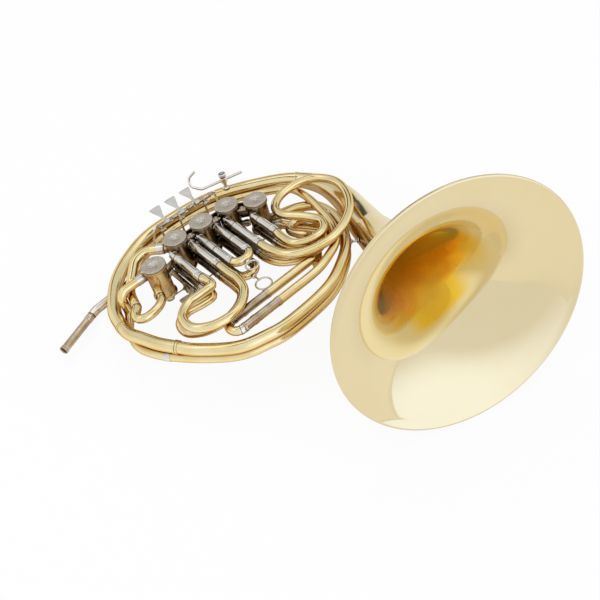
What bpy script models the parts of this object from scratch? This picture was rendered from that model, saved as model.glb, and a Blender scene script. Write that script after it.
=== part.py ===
"""Double french horn with five rotary valves, built as separate pieces.

Lengths in this file are millimetres in the horn's own frame: X runs along the
valve row towards the bell, Y runs away from the bell's mouth, and Z stands up
from the valve caps, whose tops are at Z = 0. MM turns them into metres. The
whole horn hangs on one empty, which lays it on its bell rim and its ring.
"""
import math

import bmesh
import bpy
from mathutils import Matrix, Vector

MM = 0.001
GAP = 0.3

# How the horn lies: tilt of its own frame
REST_TILT_X = math.radians(-15.015)
REST_TILT_Y = math.radians(-2.553)

# Bell
RIM_RADIUS = 155.5
RIM_CENTRE = Vector((193.1, -221.0, -22.6))
MOUTH_TILT = 8.0
BELL_WALL = 1.1
BELL_SIDES = 28
BELL_RINGS = 10
THROAT_DEPTH = 225.0
TAIL_RADIUS = 15.5
FLARE_RADIUS = 110.0
FLARE_LENGTH = 88.0
LIP_RADIUS = 30.0
LIP_LENGTH = 14.0
RIM_FLAT = 3.6
TAIL_END_RADIUS = 10.6

# Tubes
RING_SIDES = 10
TUBE_SIDES = 8
TUBE_RADIUS = 6.0
LEG_RADIUS = 4.95
BORE_RADIUS = 5.35
SHOULDER = 0.8
ARC_STEP = math.radians(34.0)
ELBOW_STEP = math.radians(45.0)
RING_STEP = 25.0
CROOK_STEP = 23.0
FERRULE_LENGTH = 6.0
FERRULE_WALL = 0.8
JOINT_GAP = 0.6

# Valve row: direction along the row and direction of the slides
ALONG = Vector((0.970, 0.242, 0.0)).normalized()
OUT = Vector((0.242, -0.970, 0.0)).normalized()
UP = Vector((0.0, 0.0, 1.0))
ROW_CENTRE = Vector((2.0, 101.0, 0.0))
VALVE_SPACING = 41.5
UPPER = -17.0
LOWER = -39.0
KNUCKLE_Z = -28.0
KNUCKLE_RADIUS = 4.5

# Valves
CASING_RADIUS = 15.2
FLANGE_RADIUS = 16.0
CASING_TOP = -5.0
CASING_BOTTOM = -52.0
CASING_BORE = 13.2
CASING_SIDES = 14
ROTOR_RADIUS = 12.7
STEM_RADIUS = 2.8
STEM_BORE = 3.2
CAP_SPIGOT = 12.6
PASSAGE_RADIUS = 6.5
PASSAGE_OFFSET = 11.0
RING_TURNS = 12
ARM_TOP = -53.6
ARM_BOTTOM = -55.6
PIN_RADIUS = 1.2
PIN_BOTTOM = -60.6

# Levers and links
AXLE_RADIUS = 1.5
BARREL_RADIUS = 3.0
BARREL_BORE = 1.9
FINGER_AXLE_BACK = 48.5
FINGER_AXLE_Z = -10.0
THUMB_AXLE_U = -61.5
THUMB_AXLE_Z = -50.0
AXLE_BACK_END = 7.4
AXLE_FRONT_END = -57.0
AXLE_LEAN = 6.5
LINK_Z = -58.4
LONG_LINK_Z = -66.0
LINK_ROD_RADIUS = 1.3
EYE_RADIUS = 2.8
EYE_BORE = 1.5
EYE_PIN = 1.1
FORK_RADIUS = 5.8
FORK_BORE = 4.3
PLATE = 1.6
FINGER_CRANK = 8.5
THUMB_CRANK = 5.0

# Colour, roughness and metallic value of each finish
FINISHES = {
    "lacquered_brass": ((0.86, 0.64, 0.27), 0.16, 1.0),
    "nickel_silver": ((0.72, 0.69, 0.63), 0.22, 1.0),
    "steel": ((0.60, 0.60, 0.60), 0.28, 1.0),
}


def row_point(u, back, z=0.0):
    """Point at u along the valve row and so far behind it, from the middle valve."""
    return ROW_CENTRE + ALONG * u - OUT * back + UP * z


VALVES = {
    "first": row_point(-VALVE_SPACING, 0.0),
    "second": row_point(0.0, 0.0),
    "third": row_point(VALVE_SPACING, 0.0),
    "change": row_point(VALVE_SPACING + 31.0, -24.0),
    "stopping": row_point(-VALVE_SPACING - 47.0, -23.0),
}

# Slide legs: valve, offset along the row, and how far out each sleeve's mouth is
LEG_OFFSETS = {
    "first": (-13.5, 14.5),
    "second": (-12.8, 13.6),
    "third": (-10.2, None),
    "change": (-13.6, None),
}
SLEEVE_MOUTH = {"first": 70.0, "second": 80.0, "third": 80.0, "change": 55.0}
LOWER_MOUTH = {"first": 66.0, "second": 84.0, "third": 74.0, "change": 50.0}
SLEEVE_DEPTH = 52.0


# Building blocks


def clear_scene():
    """Remove whatever stands in the scene."""
    for obj in list(bpy.data.objects):
        bpy.data.objects.remove(obj, do_unlink=True)


def make_root():
    """Empty that carries the horn and lays it on the ground."""
    root = bpy.data.objects.new("horn", None)
    bpy.context.scene.collection.objects.link(root)
    tilt = Matrix.Rotation(REST_TILT_Y, 4, "Y") @ Matrix.Rotation(REST_TILT_X, 4, "X")
    root.matrix_world = tilt
    return root


def make_material(name, finish):
    """Material of one piece in one of the horn's finishes."""
    colour, roughness, metallic = FINISHES[finish]
    material = bpy.data.materials.new(name + "_" + finish)
    material.use_nodes = True
    shader = material.node_tree.nodes["Principled BSDF"]
    shader.inputs["Base Color"].default_value = (*colour, 1.0)
    shader.inputs["Roughness"].default_value = roughness
    shader.inputs["Metallic"].default_value = metallic
    return material


def add_piece(root, name, shape, finish, origin=(0.0, 0.0, 0.0)):
    """Hang a shape on the root as one named piece, its origin where it turns."""
    origin = Vector(origin)
    bmesh.ops.translate(shape, verts=shape.verts, vec=-origin)
    bmesh.ops.scale(shape, verts=shape.verts, vec=(MM, MM, MM))
    mesh = bpy.data.meshes.new(name)
    shape.to_mesh(mesh)
    shape.free()
    mesh.shade_smooth()
    mesh.set_sharp_from_angle(angle=math.radians(40.0))
    piece = bpy.data.objects.new(name, mesh)
    bpy.context.scene.collection.objects.link(piece)
    piece.parent = root
    piece.location = origin * MM
    piece.data.materials.append(make_material(name, finish))
    return piece


def work_on(piece, tool_shape, operation, label):
    """Join a shape to a piece, or cut it out, in the horn's own frame."""
    tool = add_piece(piece.parent, piece.name + "_" + label, tool_shape, "steel")
    tool.hide_render = True
    tool.display_type = "WIRE"
    step = piece.modifiers.new(label, "BOOLEAN")
    step.operation = operation
    step.solver = "EXACT"
    step.object = tool


def gather(*shapes):
    """One shape from several that don't meet."""
    whole = bmesh.new()
    for shape in shapes:
        part = bpy.data.meshes.new("part")
        shape.to_mesh(part)
        shape.free()
        whole.from_mesh(part)
        bpy.data.meshes.remove(part)
    return whole


def place(shape, origin, direction, across=None):
    """Turn a shape's own Z to a direction and move it to its origin."""
    axis = Vector(direction).normalized()
    if across is None:
        turn = axis.to_track_quat("Z", "Y").to_matrix()
    else:
        side = Vector(across).normalized()
        turn = Matrix((side, axis.cross(side), axis)).transposed()
    matrix = Matrix.Translation(Vector(origin)) @ turn.to_4x4()
    bmesh.ops.transform(shape, matrix=matrix, verts=shape.verts)
    return shape


def bridge(shape, rings, closed=False):
    """Skin rings of equal count with quads, flat caps at the ends or none if closed."""
    pairs = list(zip(rings, rings[1:]))
    if closed:
        pairs.append((rings[-1], rings[0]))
    count = len(rings[0])
    for low, high in pairs:
        for i in range(count):
            j = (i + 1) % count
            shape.faces.new((low[i], low[j], high[j], high[i]))
    if not closed:
        shape.faces.new(rings[0][::-1])
        shape.faces.new(rings[-1])
    bmesh.ops.recalc_face_normals(shape, faces=shape.faces)
    return shape


def revolve(profile, sides, origin=(0, 0, 0), direction=(0, 0, 1), ring=False):
    """Turn (radius, height) points about the axis; a ring's profile closes on itself."""
    shape = bmesh.new()
    rings = []
    for radius, height in profile:
        loop = []
        for i in range(sides):
            angle = math.tau * (i + 0.5) / sides
            loop.append(shape.verts.new((radius * math.cos(angle), radius * math.sin(angle), height)))
        rings.append(loop)
    bridge(shape, rings, closed=ring)
    return place(shape, origin, direction)


def rod(start, end, radius, sides=10):
    """Plain round bar between two points."""
    start = Vector(start)
    run = Vector(end) - start
    return revolve([(radius, 0.0), (radius, run.length)], sides, start, run)


def washer(outer, bore, half_width, sides, origin, direction):
    """Short open cylinder about its origin."""
    profile = [(outer, -half_width), (outer, half_width), (bore, half_width), (bore, -half_width)]
    return revolve(profile, sides, origin, direction, ring=True)


def rounded_path(corners, bend, arc_step=ARC_STEP):
    """Straight runs between corners, with an arc of the bend radius at each corner."""
    corners = [Vector(corner) for corner in corners]
    last = len(corners) - 1
    path = [corners[0]]
    for i in range(1, last):
        corner = corners[i]
        before = corners[i - 1] - corner
        after = corners[i + 1] - corner
        turn = math.pi - before.angle(after)
        if turn < math.radians(1.0):
            continue
        room_before = before.length * (0.97 if i == 1 else 0.5)
        room_after = after.length * (0.97 if i == last - 1 else 0.5)
        reach = min(bend * math.tan(turn / 2), room_before, room_after)
        radius = reach / math.tan(turn / 2)
        inward = (before.normalized() + after.normalized()).normalized()
        centre = corner + inward * (radius / math.cos(turn / 2))
        spoke = corner + before.normalized() * reach - centre
        axis = (-before).cross(after)
        steps = max(1, round(turn / arc_step))
        for k in range(steps + 1):
            point = centre + Matrix.Rotation(turn * k / steps, 3, axis) @ spoke
            if (point - path[-1]).length > 0.5:
                path.append(point)
    path.append(corners[-1])
    return path


def smooth_path(points, spacing, before=None, after=None):
    """Curve through every point, in even steps, that may carry on from a point before or after."""
    points = [Vector(point) for point in points]
    first = Vector(before) if before else points[0] * 2 - points[1]
    final = Vector(after) if after else points[-1] * 2 - points[-2]
    ends = [first] + points + [final]
    path = [points[0]]
    for a, b, c, d in zip(ends, ends[1:], ends[2:], ends[3:]):
        steps = max(1, round((c - b).length / spacing))
        for k in range(1, steps + 1):
            t = k / steps
            path.append(
                0.5 * (2 * b + (c - a) * t + (2 * a - 5 * b + 4 * c - d) * t**2
                       + (3 * b - a - 3 * c + d) * t**3)
            )
    return path


def travel(path):
    """Length along a path at each of its points."""
    lengths = [0.0]
    for low, high in zip(path, path[1:]):
        lengths.append(lengths[-1] + (high - low).length)
    return lengths


def sweep_rings(shape, path, radii, sides, start_heading=None, end_heading=None):
    """Rings of vertices square to a path, without twist, its ends square to a heading if given."""
    rings = []
    side = None
    for i, point in enumerate(path):
        ahead = path[min(i + 1, len(path) - 1)] - point
        behind = point - path[max(i - 1, 0)]
        if ahead.length == 0:
            tangent = behind.normalized()
        elif behind.length == 0:
            tangent = ahead.normalized()
        else:
            tangent = (ahead.normalized() + behind.normalized()).normalized()
        if i == 0 and start_heading:
            tangent = Vector(start_heading).normalized()
        if i == len(path) - 1 and end_heading:
            tangent = Vector(end_heading).normalized()
        if side is None:
            side = UP if abs(tangent.dot(UP)) < 0.8 else Vector((1.0, 0.0, 0.0))
        side = (side - tangent * side.dot(tangent)).normalized()
        across = tangent.cross(side)
        loop = []
        for k in range(sides):
            angle = math.tau * (k + 0.5) / sides
            offset = (side * math.cos(angle) + across * math.sin(angle)) * radii[i]
            loop.append(shape.verts.new(point + offset))
        rings.append(loop)
    return rings


def sweep(path, radii, sides, start_heading=None, end_heading=None):
    """Closed tube along a path, one radius for each point."""
    shape = bmesh.new()
    return bridge(shape, sweep_rings(shape, path, radii, sides, start_heading, end_heading))


def taper(path, start_radius, end_radius):
    """Radii that run evenly from one end of a path to the other."""
    lengths = travel(path)
    return [start_radius + (end_radius - start_radius) * s / lengths[-1] for s in lengths]


def tube(root, name, path, start_radius, end_radius, finish="lacquered_brass", sides=TUBE_SIDES):
    """Piece of bent tube, even or tapered."""
    return add_piece(root, name, sweep(path, taper(path, start_radius, end_radius), sides), finish)


def ferrule(root, name, place_at, direction, tube_radius, length=FERRULE_LENGTH):
    """Silver band round the joint of two tubes."""
    bore = tube_radius + GAP + 0.1
    outer = bore + FERRULE_WALL
    band = washer(outer, bore, length / 2, RING_SIDES + 2, place_at, direction)
    return add_piece(root, name, band, "nickel_silver")


def brace(root, name, centre_a, radius_a, centre_b, radius_b, rod_radius=1.9):
    """Round strut with a foot at each end, between the surfaces of two tubes."""
    start = Vector(centre_a)
    run = (Vector(centre_b) - start).normalized()
    start = start + run * (radius_a + GAP)
    length = (Vector(centre_b) - run * (radius_b + GAP) - start).length
    foot = rod_radius + 2.0
    profile = [(foot, 0.0), (foot, 0.8), (rod_radius, 2.0), (rod_radius, length - 2.0),
               (foot, length - 0.8), (foot, length)]
    return add_piece(root, name, revolve(profile, 8, start, run), "nickel_silver")


# Bell and ring

MOUTHWARD = Vector((0.0, -math.cos(math.radians(MOUTH_TILT)), math.sin(math.radians(MOUTH_TILT))))

# Centre line of the ring, one turn from the bell's tail to the change valve
RING = {
    "tail": [(193.5, 36.0, -53.0), (194.0, 79.0, -51.0), (184.0, 122.0, -48.0), (158.0, 153.0, -44.0)],
    "branch": [(158.0, 153.0, -44.0), (122.0, 172.0, -42.0), (62.0, 192.0, -42.0), (14.0, 194.0, -42.0),
               (-56.0, 178.0, -42.0), (-97.0, 150.0, -42.0), (-129.0, 109.0, -42.0),
               (-146.0, 57.0, -42.0), (-144.6, 20.0, -42.0)],
    "lower": [(-144.6, 20.0, -42.0), (-140.0, 3.0, -42.2), (-129.0, -13.0, -42.5), (-114.0, -34.0, -43.0),
              (-95.6, -53.3, -43.2)],
    "inner": [(-95.6, -53.3, -43.2), (-74.0, -73.0, -43.5), (-34.0, -97.0, -43.5), (1.0, -101.0, -43.5),
              (35.0, -97.0, -43.5),
              (94.0, -74.0, -43.5), (129.0, -44.0, -43.5), (153.0, -9.0, -43.0), (163.0, 38.0, -42.5),
              (155.0, 76.0, -42.5), (134.0, 91.5, -42.5), (112.0, 95.2, -42.5), (97.4, 95.3, -42.5)],
}


def flare(depth):
    """Outer radius of the bell so far behind its rim."""
    horn = FLARE_RADIUS * math.exp(-depth / FLARE_LENGTH)
    lip = LIP_RADIUS * math.exp(-depth / LIP_LENGTH)
    return TAIL_RADIUS + horn + lip


def flare_slope(depth):
    """How fast the flare closes behind the rim."""
    horn = FLARE_RADIUS / FLARE_LENGTH * math.exp(-depth / FLARE_LENGTH)
    lip = LIP_RADIUS / LIP_LENGTH * math.exp(-depth / LIP_LENGTH)
    return horn + lip


def make_bell(root):
    """Bell from its throat out to the rim and back along its outside to the tail's end."""
    count = BELL_RINGS
    depths = [THROAT_DEPTH * (k / count) ** 1.7 for k in range(1, count + 1)]
    path = []
    radii = []
    for depth in reversed(depths):
        path.append(RIM_CENTRE - MOUTHWARD * depth)
        radii.append(flare(depth) - BELL_WALL * math.hypot(1.0, flare_slope(depth)))
    rim = [(RIM_RADIUS - RIM_FLAT, 0.0), (RIM_RADIUS, 0.0), (RIM_RADIUS + 0.4, 1.6), (RIM_RADIUS - 0.6, 3.2)]
    for radius, depth in rim:
        path.append(RIM_CENTRE - MOUTHWARD * depth)
        radii.append(radius)
    for depth in depths:
        path.append(RIM_CENTRE - MOUTHWARD * depth)
        radii.append(max(flare(depth), 0.0))
    tail = smooth_path(RING["tail"], RING_STEP, after=RING["branch"][1])
    lengths = travel(tail)
    start_radius = flare(THROAT_DEPTH + 26.0)
    for point, run in zip(tail, lengths):
        path.append(point)
        radii.append(start_radius + (TAIL_END_RADIUS - start_radius) * run / lengths[-1])
    shape = bmesh.new()
    rings = []
    side = Vector((1.0, 0.0, 0.0))
    straight = 2 * count + len(rim)
    for i, point in enumerate(path):
        if i < straight:
            tangent = -MOUTHWARD
        elif i < len(path) - 1:
            tangent = (path[i + 1] - path[i - 1]).normalized()
        else:
            tangent = joint_heading(RING["tail"], RING["branch"])
        side = (side - tangent * side.dot(tangent)).normalized()
        across = tangent.cross(side)
        loop = []
        for k in range(BELL_SIDES):
            angle = math.tau * (k + 0.5) / BELL_SIDES
            spoke = side * math.cos(angle) + across * math.sin(angle)
            loop.append(shape.verts.new(point + spoke * radii[i]))
        rings.append(loop)
    bridge(shape, rings)
    add_piece(root, "bell", shape, "lacquered_brass")


def shortened(points, start_gap, end_gap):
    """Route with its first and last point drawn in along its ends."""
    points = [Vector(point) for point in points]
    points[0] = points[0] + (points[1] - points[0]).normalized() * start_gap
    points[-1] = points[-1] + (points[-2] - points[-1]).normalized() * end_gap
    return points


def joint_heading(before, after):
    """Way the ring runs where one of its parts meets the next."""
    return (Vector(after[1]) - Vector(before[-2])).normalized()


def make_ring(root):
    """The three tubes that carry on from the bell's tail round the ring."""
    routes = [RING[part] for part in ("tail", "branch", "lower", "inner")]
    headings = [joint_heading(before, after) for before, after in zip(routes, routes[1:])] + [None]
    sizes = (("bell_branch", 10.4, 8.5), ("lower_branch", 8.3, 8.0), ("inner_ring_tube", 7.7, 6.6))
    for i, (name, start_radius, end_radius) in enumerate(sizes, start=1):
        following = routes[i + 1][1] if i < 3 else None
        points = shortened(routes[i], JOINT_GAP, JOINT_GAP if i < 3 else 0.0)
        path = smooth_path(points, RING_STEP, routes[i - 1][-2], following)
        radii = taper(path, start_radius, end_radius)
        shape = sweep(path, radii, RING_SIDES, headings[i - 1], headings[i])
        add_piece(root, name, shape, "lacquered_brass")
    bands = (("tail_ferrule", 11.5), ("left_ferrule", 8.6), ("bottom_ferrule", 8.1))
    for i, (name, radius) in enumerate(bands):
        ferrule(root, name, routes[i + 1][0], headings[i], radius)


# Tubes between the valves, the leadpipe and the receiver

STOPPING_PORT = Vector((-96.5, 61.2, UPPER))
STOPPING_PORT_HEADING = Vector((-0.96, -0.28, 0.0)).normalized()
ELBOW_PORT = Vector((-54.8, 98.6, UPPER))
STACKED_Z = -58.5
PORT_REACH = 18.6
STACKED_ANGLE = -38.0
FEED_ANGLE = -76.0
MAIN_SLIDE_Z = -28.8
MAIN_AXIS = Vector((0.955, 0.297, 0.0)).normalized()
MAIN_UPPER_MOUTH = Vector((-24.0, -68.0, MAIN_SLIDE_Z))
MAIN_SPACING = 21.3
MAIN_ACROSS = Vector((MAIN_AXIS.y, -MAIN_AXIS.x, 0.0))
MAIN_LOWER_MOUTH = MAIN_UPPER_MOUTH + MAIN_ACROSS * MAIN_SPACING
MAIN_SLEEVE = 56.0
MAIN_RADIUS = 5.8


def port_face(valve, angle, level, reach):
    """Point so far from a valve's axis, at an angle in plan and a height."""
    turn = math.radians(angle)
    return VALVES[valve] + Vector((math.cos(turn), math.sin(turn), 0.0)) * reach + UP * level


def make_stopping_tube(root):
    """From the stopping valve over the elbow, down inside the ring and under it."""
    corners = [STOPPING_PORT + STOPPING_PORT_HEADING * (GAP + 0.2),
               STOPPING_PORT + STOPPING_PORT_HEADING * 36.4, (-130.0, 46.0, -48.0),
               (-141.5, 24.0, STACKED_Z), (-138.6, 5.0, STACKED_Z)]
    tube(root, "stopping_valve_tube", rounded_path(corners, 11.0), 5.8, 5.9)


def make_stacked_tube(root):
    """Second tube of the ring, stacked under the first, round to the change valve."""
    points = [(-138.4, 4.2, STACKED_Z), (-136.6, -5.0, STACKED_Z), (-130.5, -19.0, STACKED_Z),
              (-112.0, -41.0, STACKED_Z - 0.5),
              (-74.0, -72.0, STACKED_Z - 0.8), (-34.0, -95.0, STACKED_Z - 0.8), (1.0, -99.0, STACKED_Z - 0.8),
              (35.0, -96.0, STACKED_Z - 0.8), (94.0, -73.0, STACKED_Z - 0.8), (128.0, -44.0, STACKED_Z - 0.6),
              (151.0, -9.0, STACKED_Z), (155.0, 26.0, STACKED_Z), (140.0, 52.0, STACKED_Z),
              (112.0, 70.0, -50.0)]
    points += [port_face("change", STACKED_ANGLE, -46.0, run) for run in (28.0, PORT_REACH + GAP + 0.2)]
    tube(root, "stacked_ring_tube", smooth_path(points, RING_STEP), 6.4, 6.0)


def make_elbow(root):
    """From the first valve round to the stopping valve's slide."""
    corners = [ELBOW_PORT, (-78.0, 111.0, UPPER), (-96.0, 103.0, UPPER - 1), (-113.0, 76.0, -28.0),
               (-118.5, 62.0, -30.0), (-118.6, 57.0, -30.0)]
    tube(root, "first_valve_elbow", rounded_path(corners, 22.0), 6.8, 6.2)


def make_leadpipe(root):
    """From the receiver under the ring, round its inside to the main tuning slide."""
    slide_end = MAIN_LOWER_MOUTH + MAIN_AXIS * (MAIN_SLEEVE + GAP + 0.2)
    points = [(-176.4, 88.2, -58.5), (-169.0, 94.4, -58.5), (-153.0, 101.0, -58.5), (-124.0, 113.5, -58.5),
              (-106.0, 122.0, -55.5), (-92.0, 131.0, -49.5), (-80.0, 140.5, -45.5),
              (-47.0, 162.5, -45.0), (14.0, 178.5, -45.0), (62.0, 175.5, -45.0),
              (105.0, 157.0, -42.0), (135.0, 127.0, -33.0), (146.0, 90.0, -29.6), (149.0, 50.0, -30.0),
              (148.0, 12.0, -31.0), (137.0, -18.0, -29.4), (117.0, -38.0, -28.8),
              (92.0, -53.5, -28.8)]
    path = smooth_path(points, RING_STEP)
    path.append(slide_end + MAIN_AXIS * 12.0)
    path.append(slide_end)
    tube(root, "leadpipe", path, 5.0, 5.6, sides=TUBE_SIDES)


def make_receiver(root):
    """Silver socket that takes the mouthpiece, open at its end."""
    mouth = Vector((-224.0, 46.0, -57.5))
    joint = Vector((-177.0, 87.7, -58.5))
    run = joint - mouth
    length = run.length
    profile = [(0.0001, 26.0), (3.4, 26.0), (4.5, 0.6), (4.9, 0.0), (5.6, 0.0), (5.9, 1.0), (5.9, 3.4), (5.3, 4.4),
               (5.2, length - 9.0), (6.1, length - 8.0), (6.1, length - 1.5), (5.7, length - GAP),
               (0.0001, length - GAP)]
    shape = revolve(profile, 14, mouth, run)
    bmesh.ops.remove_doubles(shape, verts=shape.verts, dist=0.01)
    bmesh.ops.recalc_face_normals(shape, faces=shape.faces)
    add_piece(root, "mouthpiece_receiver", shape, "nickel_silver")


def make_feed(root):
    """From the main tuning slide under the slides to the change valve."""
    slide_end = MAIN_UPPER_MOUTH + MAIN_AXIS * (MAIN_SLEEVE + GAP + 0.2)
    corners = [slide_end, (102.0, -28.8, MAIN_SLIDE_Z), (104.5, -25.0, -53.0), (122.0, 16.0, -53.0),
               (90.0, 38.0, -53.0), port_face("change", FEED_ANGLE, -47.0, 36.0),
               port_face("change", FEED_ANGLE, -46.0, PORT_REACH + GAP + 0.2)]
    tube(root, "change_valve_tube", rounded_path(corners, 12.0), 5.8, 5.6)


# Valves: casings with their knuckles and outer slide tubes, rotors and caps


def sleeve_path(valve, offset, level, mouth):
    """Outer slide tube: an elbow out of the casing, then straight to its mouth."""
    centre = VALVES[valve]
    start = math.copysign(8.0, offset)
    corners = [centre + ALONG * start + OUT * 4.0 + UP * level,
               centre + ALONG * offset + OUT * 4.0 + UP * level,
               centre + ALONG * offset + OUT * mouth + UP * level]
    return rounded_path(corners, 8.0, ELBOW_STEP)


def make_casing_body(root, valve):
    """Hollow cylinder with a flange at each end and a hole for the stem."""
    floor = CASING_BOTTOM + 3.5
    profile = [(STEM_BORE, floor), (STEM_BORE, CASING_BOTTOM), (FLANGE_RADIUS, CASING_BOTTOM),
               (FLANGE_RADIUS, CASING_BOTTOM + 2.4), (CASING_RADIUS, CASING_BOTTOM + 3.2),
               (CASING_RADIUS, CASING_TOP - 3.2), (FLANGE_RADIUS, CASING_TOP - 2.4),
               (FLANGE_RADIUS, CASING_TOP), (CASING_BORE, CASING_TOP), (CASING_BORE, floor)]
    shape = revolve(profile, CASING_SIDES, VALVES[valve], UP, ring=True)
    return add_piece(root, valve + "_valve_casing", shape, "nickel_silver")


def casing_core(valve):
    """Solid that clears the rotor's room again after tubes are joined to the casing."""
    floor = CASING_BOTTOM + 3.5
    profile = [(CASING_BORE, floor), (CASING_BORE, CASING_TOP + 4.0)]
    return revolve(profile, CASING_SIDES, VALVES[valve], UP)


def stub(start, end, radius):
    """Short port tube from inside a casing to where another tube meets it."""
    return rod(start, end, radius, TUBE_SIDES)


def port_stub(valve, end, radius=6.4):
    """Port that points from the valve's axis at its own height to an end point."""
    centre = VALVES[valve] + UP * Vector(end).z
    heading = (Vector(end) - centre).normalized()
    return stub(centre + heading * 11.0, Vector(end), radius)


def knuckle(valve, neighbour):
    """Short tube to the next casing."""
    start = VALVES[valve] + UP * KNUCKLE_Z
    run = VALVES[neighbour] - VALVES[valve]
    heading = run.normalized()
    end = start + heading * (run.length - CASING_RADIUS - GAP - 0.2)
    return stub(start + heading * 11.0, end, KNUCKLE_RADIUS)


def make_casing(root, valve, extras):
    """One casing with its slide tubes and ports."""
    casing = make_casing_body(root, valve)
    tubes = list(extras)
    bores = []
    if valve in LEG_OFFSETS:
        for level, mouths in ((UPPER, SLEEVE_MOUTH), (LOWER, LOWER_MOUTH)):
            for offset in LEG_OFFSETS[valve]:
                if offset is None:
                    continue
                path = sleeve_path(valve, offset, level, mouths[valve])
                tubes.append(sweep(path, [TUBE_RADIUS] * len(path), TUBE_SIDES))
                inner_end = path[-1] - OUT * min(SLEEVE_DEPTH, mouths[valve] - 16.0)
                bores.append(sweep([inner_end, path[-1] + OUT * 1.0], [BORE_RADIUS] * 2, TUBE_SIDES))
    for i, extra in enumerate(tubes):
        work_on(casing, extra, "UNION", "tube_%d" % i)
    bores.append(casing_core(valve))
    work_on(casing, gather(*bores), "DIFFERENCE", "bores")
    return casing


STOPPING_SLIDE_MOUTH = Vector((-86.6, 31.0, -30.0))
STOPPING_SLIDE_FAR = Vector((-118.6, 31.0, -30.0))


def make_stopping_casing(root):
    """Casing of the stopping valve, with one outer tube of its slide."""
    top = STOPPING_SLIDE_MOUTH + Vector((0.0, 14.0, 0.0))
    extras = [stub(STOPPING_PORT - STOPPING_PORT_HEADING * 17.0, STOPPING_PORT, 6.4),
              knuckle("stopping", "first"),
              rod(top, STOPPING_SLIDE_MOUTH, TUBE_RADIUS, TUBE_SIDES)]
    casing = make_casing_body(root, "stopping")
    for i, extra in enumerate(extras):
        work_on(casing, extra, "UNION", "tube_%d" % i)
    bore = rod(STOPPING_SLIDE_MOUTH + Vector((0.0, 12.0, 0.0)), STOPPING_SLIDE_MOUTH - Vector((0.0, 1.0, 0.0)),
               BORE_RADIUS, TUBE_SIDES)
    work_on(casing, bore, "DIFFERENCE", "slide_bore")
    work_on(casing, casing_core("stopping"), "DIFFERENCE", "rotor_room")


def make_casings(root):
    """All five casings."""
    make_stopping_casing(root)
    elbow_port = port_stub("first", ELBOW_PORT + Vector((0.6, -0.3, 0.0)), 7.2)
    make_casing(root, "first", [elbow_port, knuckle("first", "second")])
    make_casing(root, "second", [knuckle("second", "third")])
    make_casing(root, "third", [knuckle("third", "change")])
    ring_port = port_stub("change", port_face("change", 0.0, -42.5, PORT_REACH), 6.7)
    stacked_port = port_stub("change", port_face("change", STACKED_ANGLE, -46.0, PORT_REACH), 5.8)
    feed_port = port_stub("change", port_face("change", FEED_ANGLE, -46.0, PORT_REACH), 5.7)
    make_casing(root, "change", [ring_port, stacked_port, feed_port])


TRAINS = {
    "first": {"pull": OUT, "side": ALONG, "crank": FINGER_CRANK, "drop": 0.0},
    "second": {"pull": OUT, "side": -ALONG, "crank": FINGER_CRANK, "drop": 0.0},
    "third": {"pull": OUT, "side": -ALONG, "crank": FINGER_CRANK, "drop": 0.0},
    "change": {"pull": -ALONG, "side": OUT, "crank": THUMB_CRANK, "drop": LINK_Z - LONG_LINK_Z},
    "stopping": {"pull": -ALONG, "side": -OUT, "crank": THUMB_CRANK, "drop": LINK_Z - LONG_LINK_Z},
}


def pin_place(valve):
    """Place of a stop arm's pin at rest, in plan."""
    train = TRAINS[valve]
    reach = train["crank"] * math.sqrt(0.5)
    return VALVES[valve] + (train["side"] - train["pull"]) * reach


def stop_arm(valve):
    """Flat arm under the casing, from the stem to its pin, with round ends."""
    centre = VALVES[valve]
    pin = pin_place(valve)
    heading = (pin - centre).normalized()
    across = UP.cross(heading)
    outline = []
    for middle, radius, start in ((centre, 5.0, 90.0), (pin, 2.8, -90.0)):
        for k in range(5):
            angle = math.radians(start + 45.0 * k)
            outline.append(middle + (heading * math.cos(angle) + across * math.sin(angle)) * radius)
    shape = bmesh.new()
    low = [shape.verts.new(point + UP * ARM_BOTTOM) for point in outline]
    high = [shape.verts.new(point + UP * ARM_TOP) for point in outline]
    return bridge(shape, [low, high])


def make_rotor(root, valve):
    """Rotor with two passages, its stem, stop arm and pin."""
    centre = VALVES[valve]
    rotor_bottom = CASING_BOTTOM + 3.5 + 0.4
    rotor_top = CASING_TOP - 4.2
    profile = [(STEM_RADIUS, ARM_BOTTOM), (STEM_RADIUS, rotor_bottom), (ROTOR_RADIUS, rotor_bottom),
               (ROTOR_RADIUS, rotor_top), (STEM_RADIUS, rotor_top)]
    rotor = add_piece(root, valve + "_rotor", revolve(profile, 12, centre, UP), "lacquered_brass", centre)
    work_on(rotor, stop_arm(valve), "UNION", "stop_arm")
    pin = pin_place(valve)
    bottom = PIN_BOTTOM - TRAINS[valve]["drop"]
    work_on(rotor, rod(pin + UP * (ARM_TOP - 0.5), pin + UP * bottom, PIN_RADIUS, 8), "UNION", "pin")
    passages = []
    for sign in (-1.0, 1.0):
        middle = centre + ALONG * (sign * PASSAGE_OFFSET) + UP * KNUCKLE_Z
        passages.append(rod(middle - OUT * 15.0, middle + OUT * 15.0, PASSAGE_RADIUS, 8))
    work_on(rotor, gather(*passages), "DIFFERENCE", "passages")


def make_cap(root, valve):
    """Domed screw cap with a raised bearing in its middle."""
    base = CASING_TOP + GAP
    profile = [(CAP_SPIGOT, CASING_TOP - 2.6), (CAP_SPIGOT, base), (FLANGE_RADIUS, base),
               (FLANGE_RADIUS, base + 2.8), (FLANGE_RADIUS - 1.4, base + 3.4), (4.8, -0.8), (4.2, 0.0)]
    shape = revolve(profile, CASING_SIDES, VALVES[valve], UP)
    add_piece(root, valve + "_valve_cap", shape, "nickel_silver")


# Slides


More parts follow.
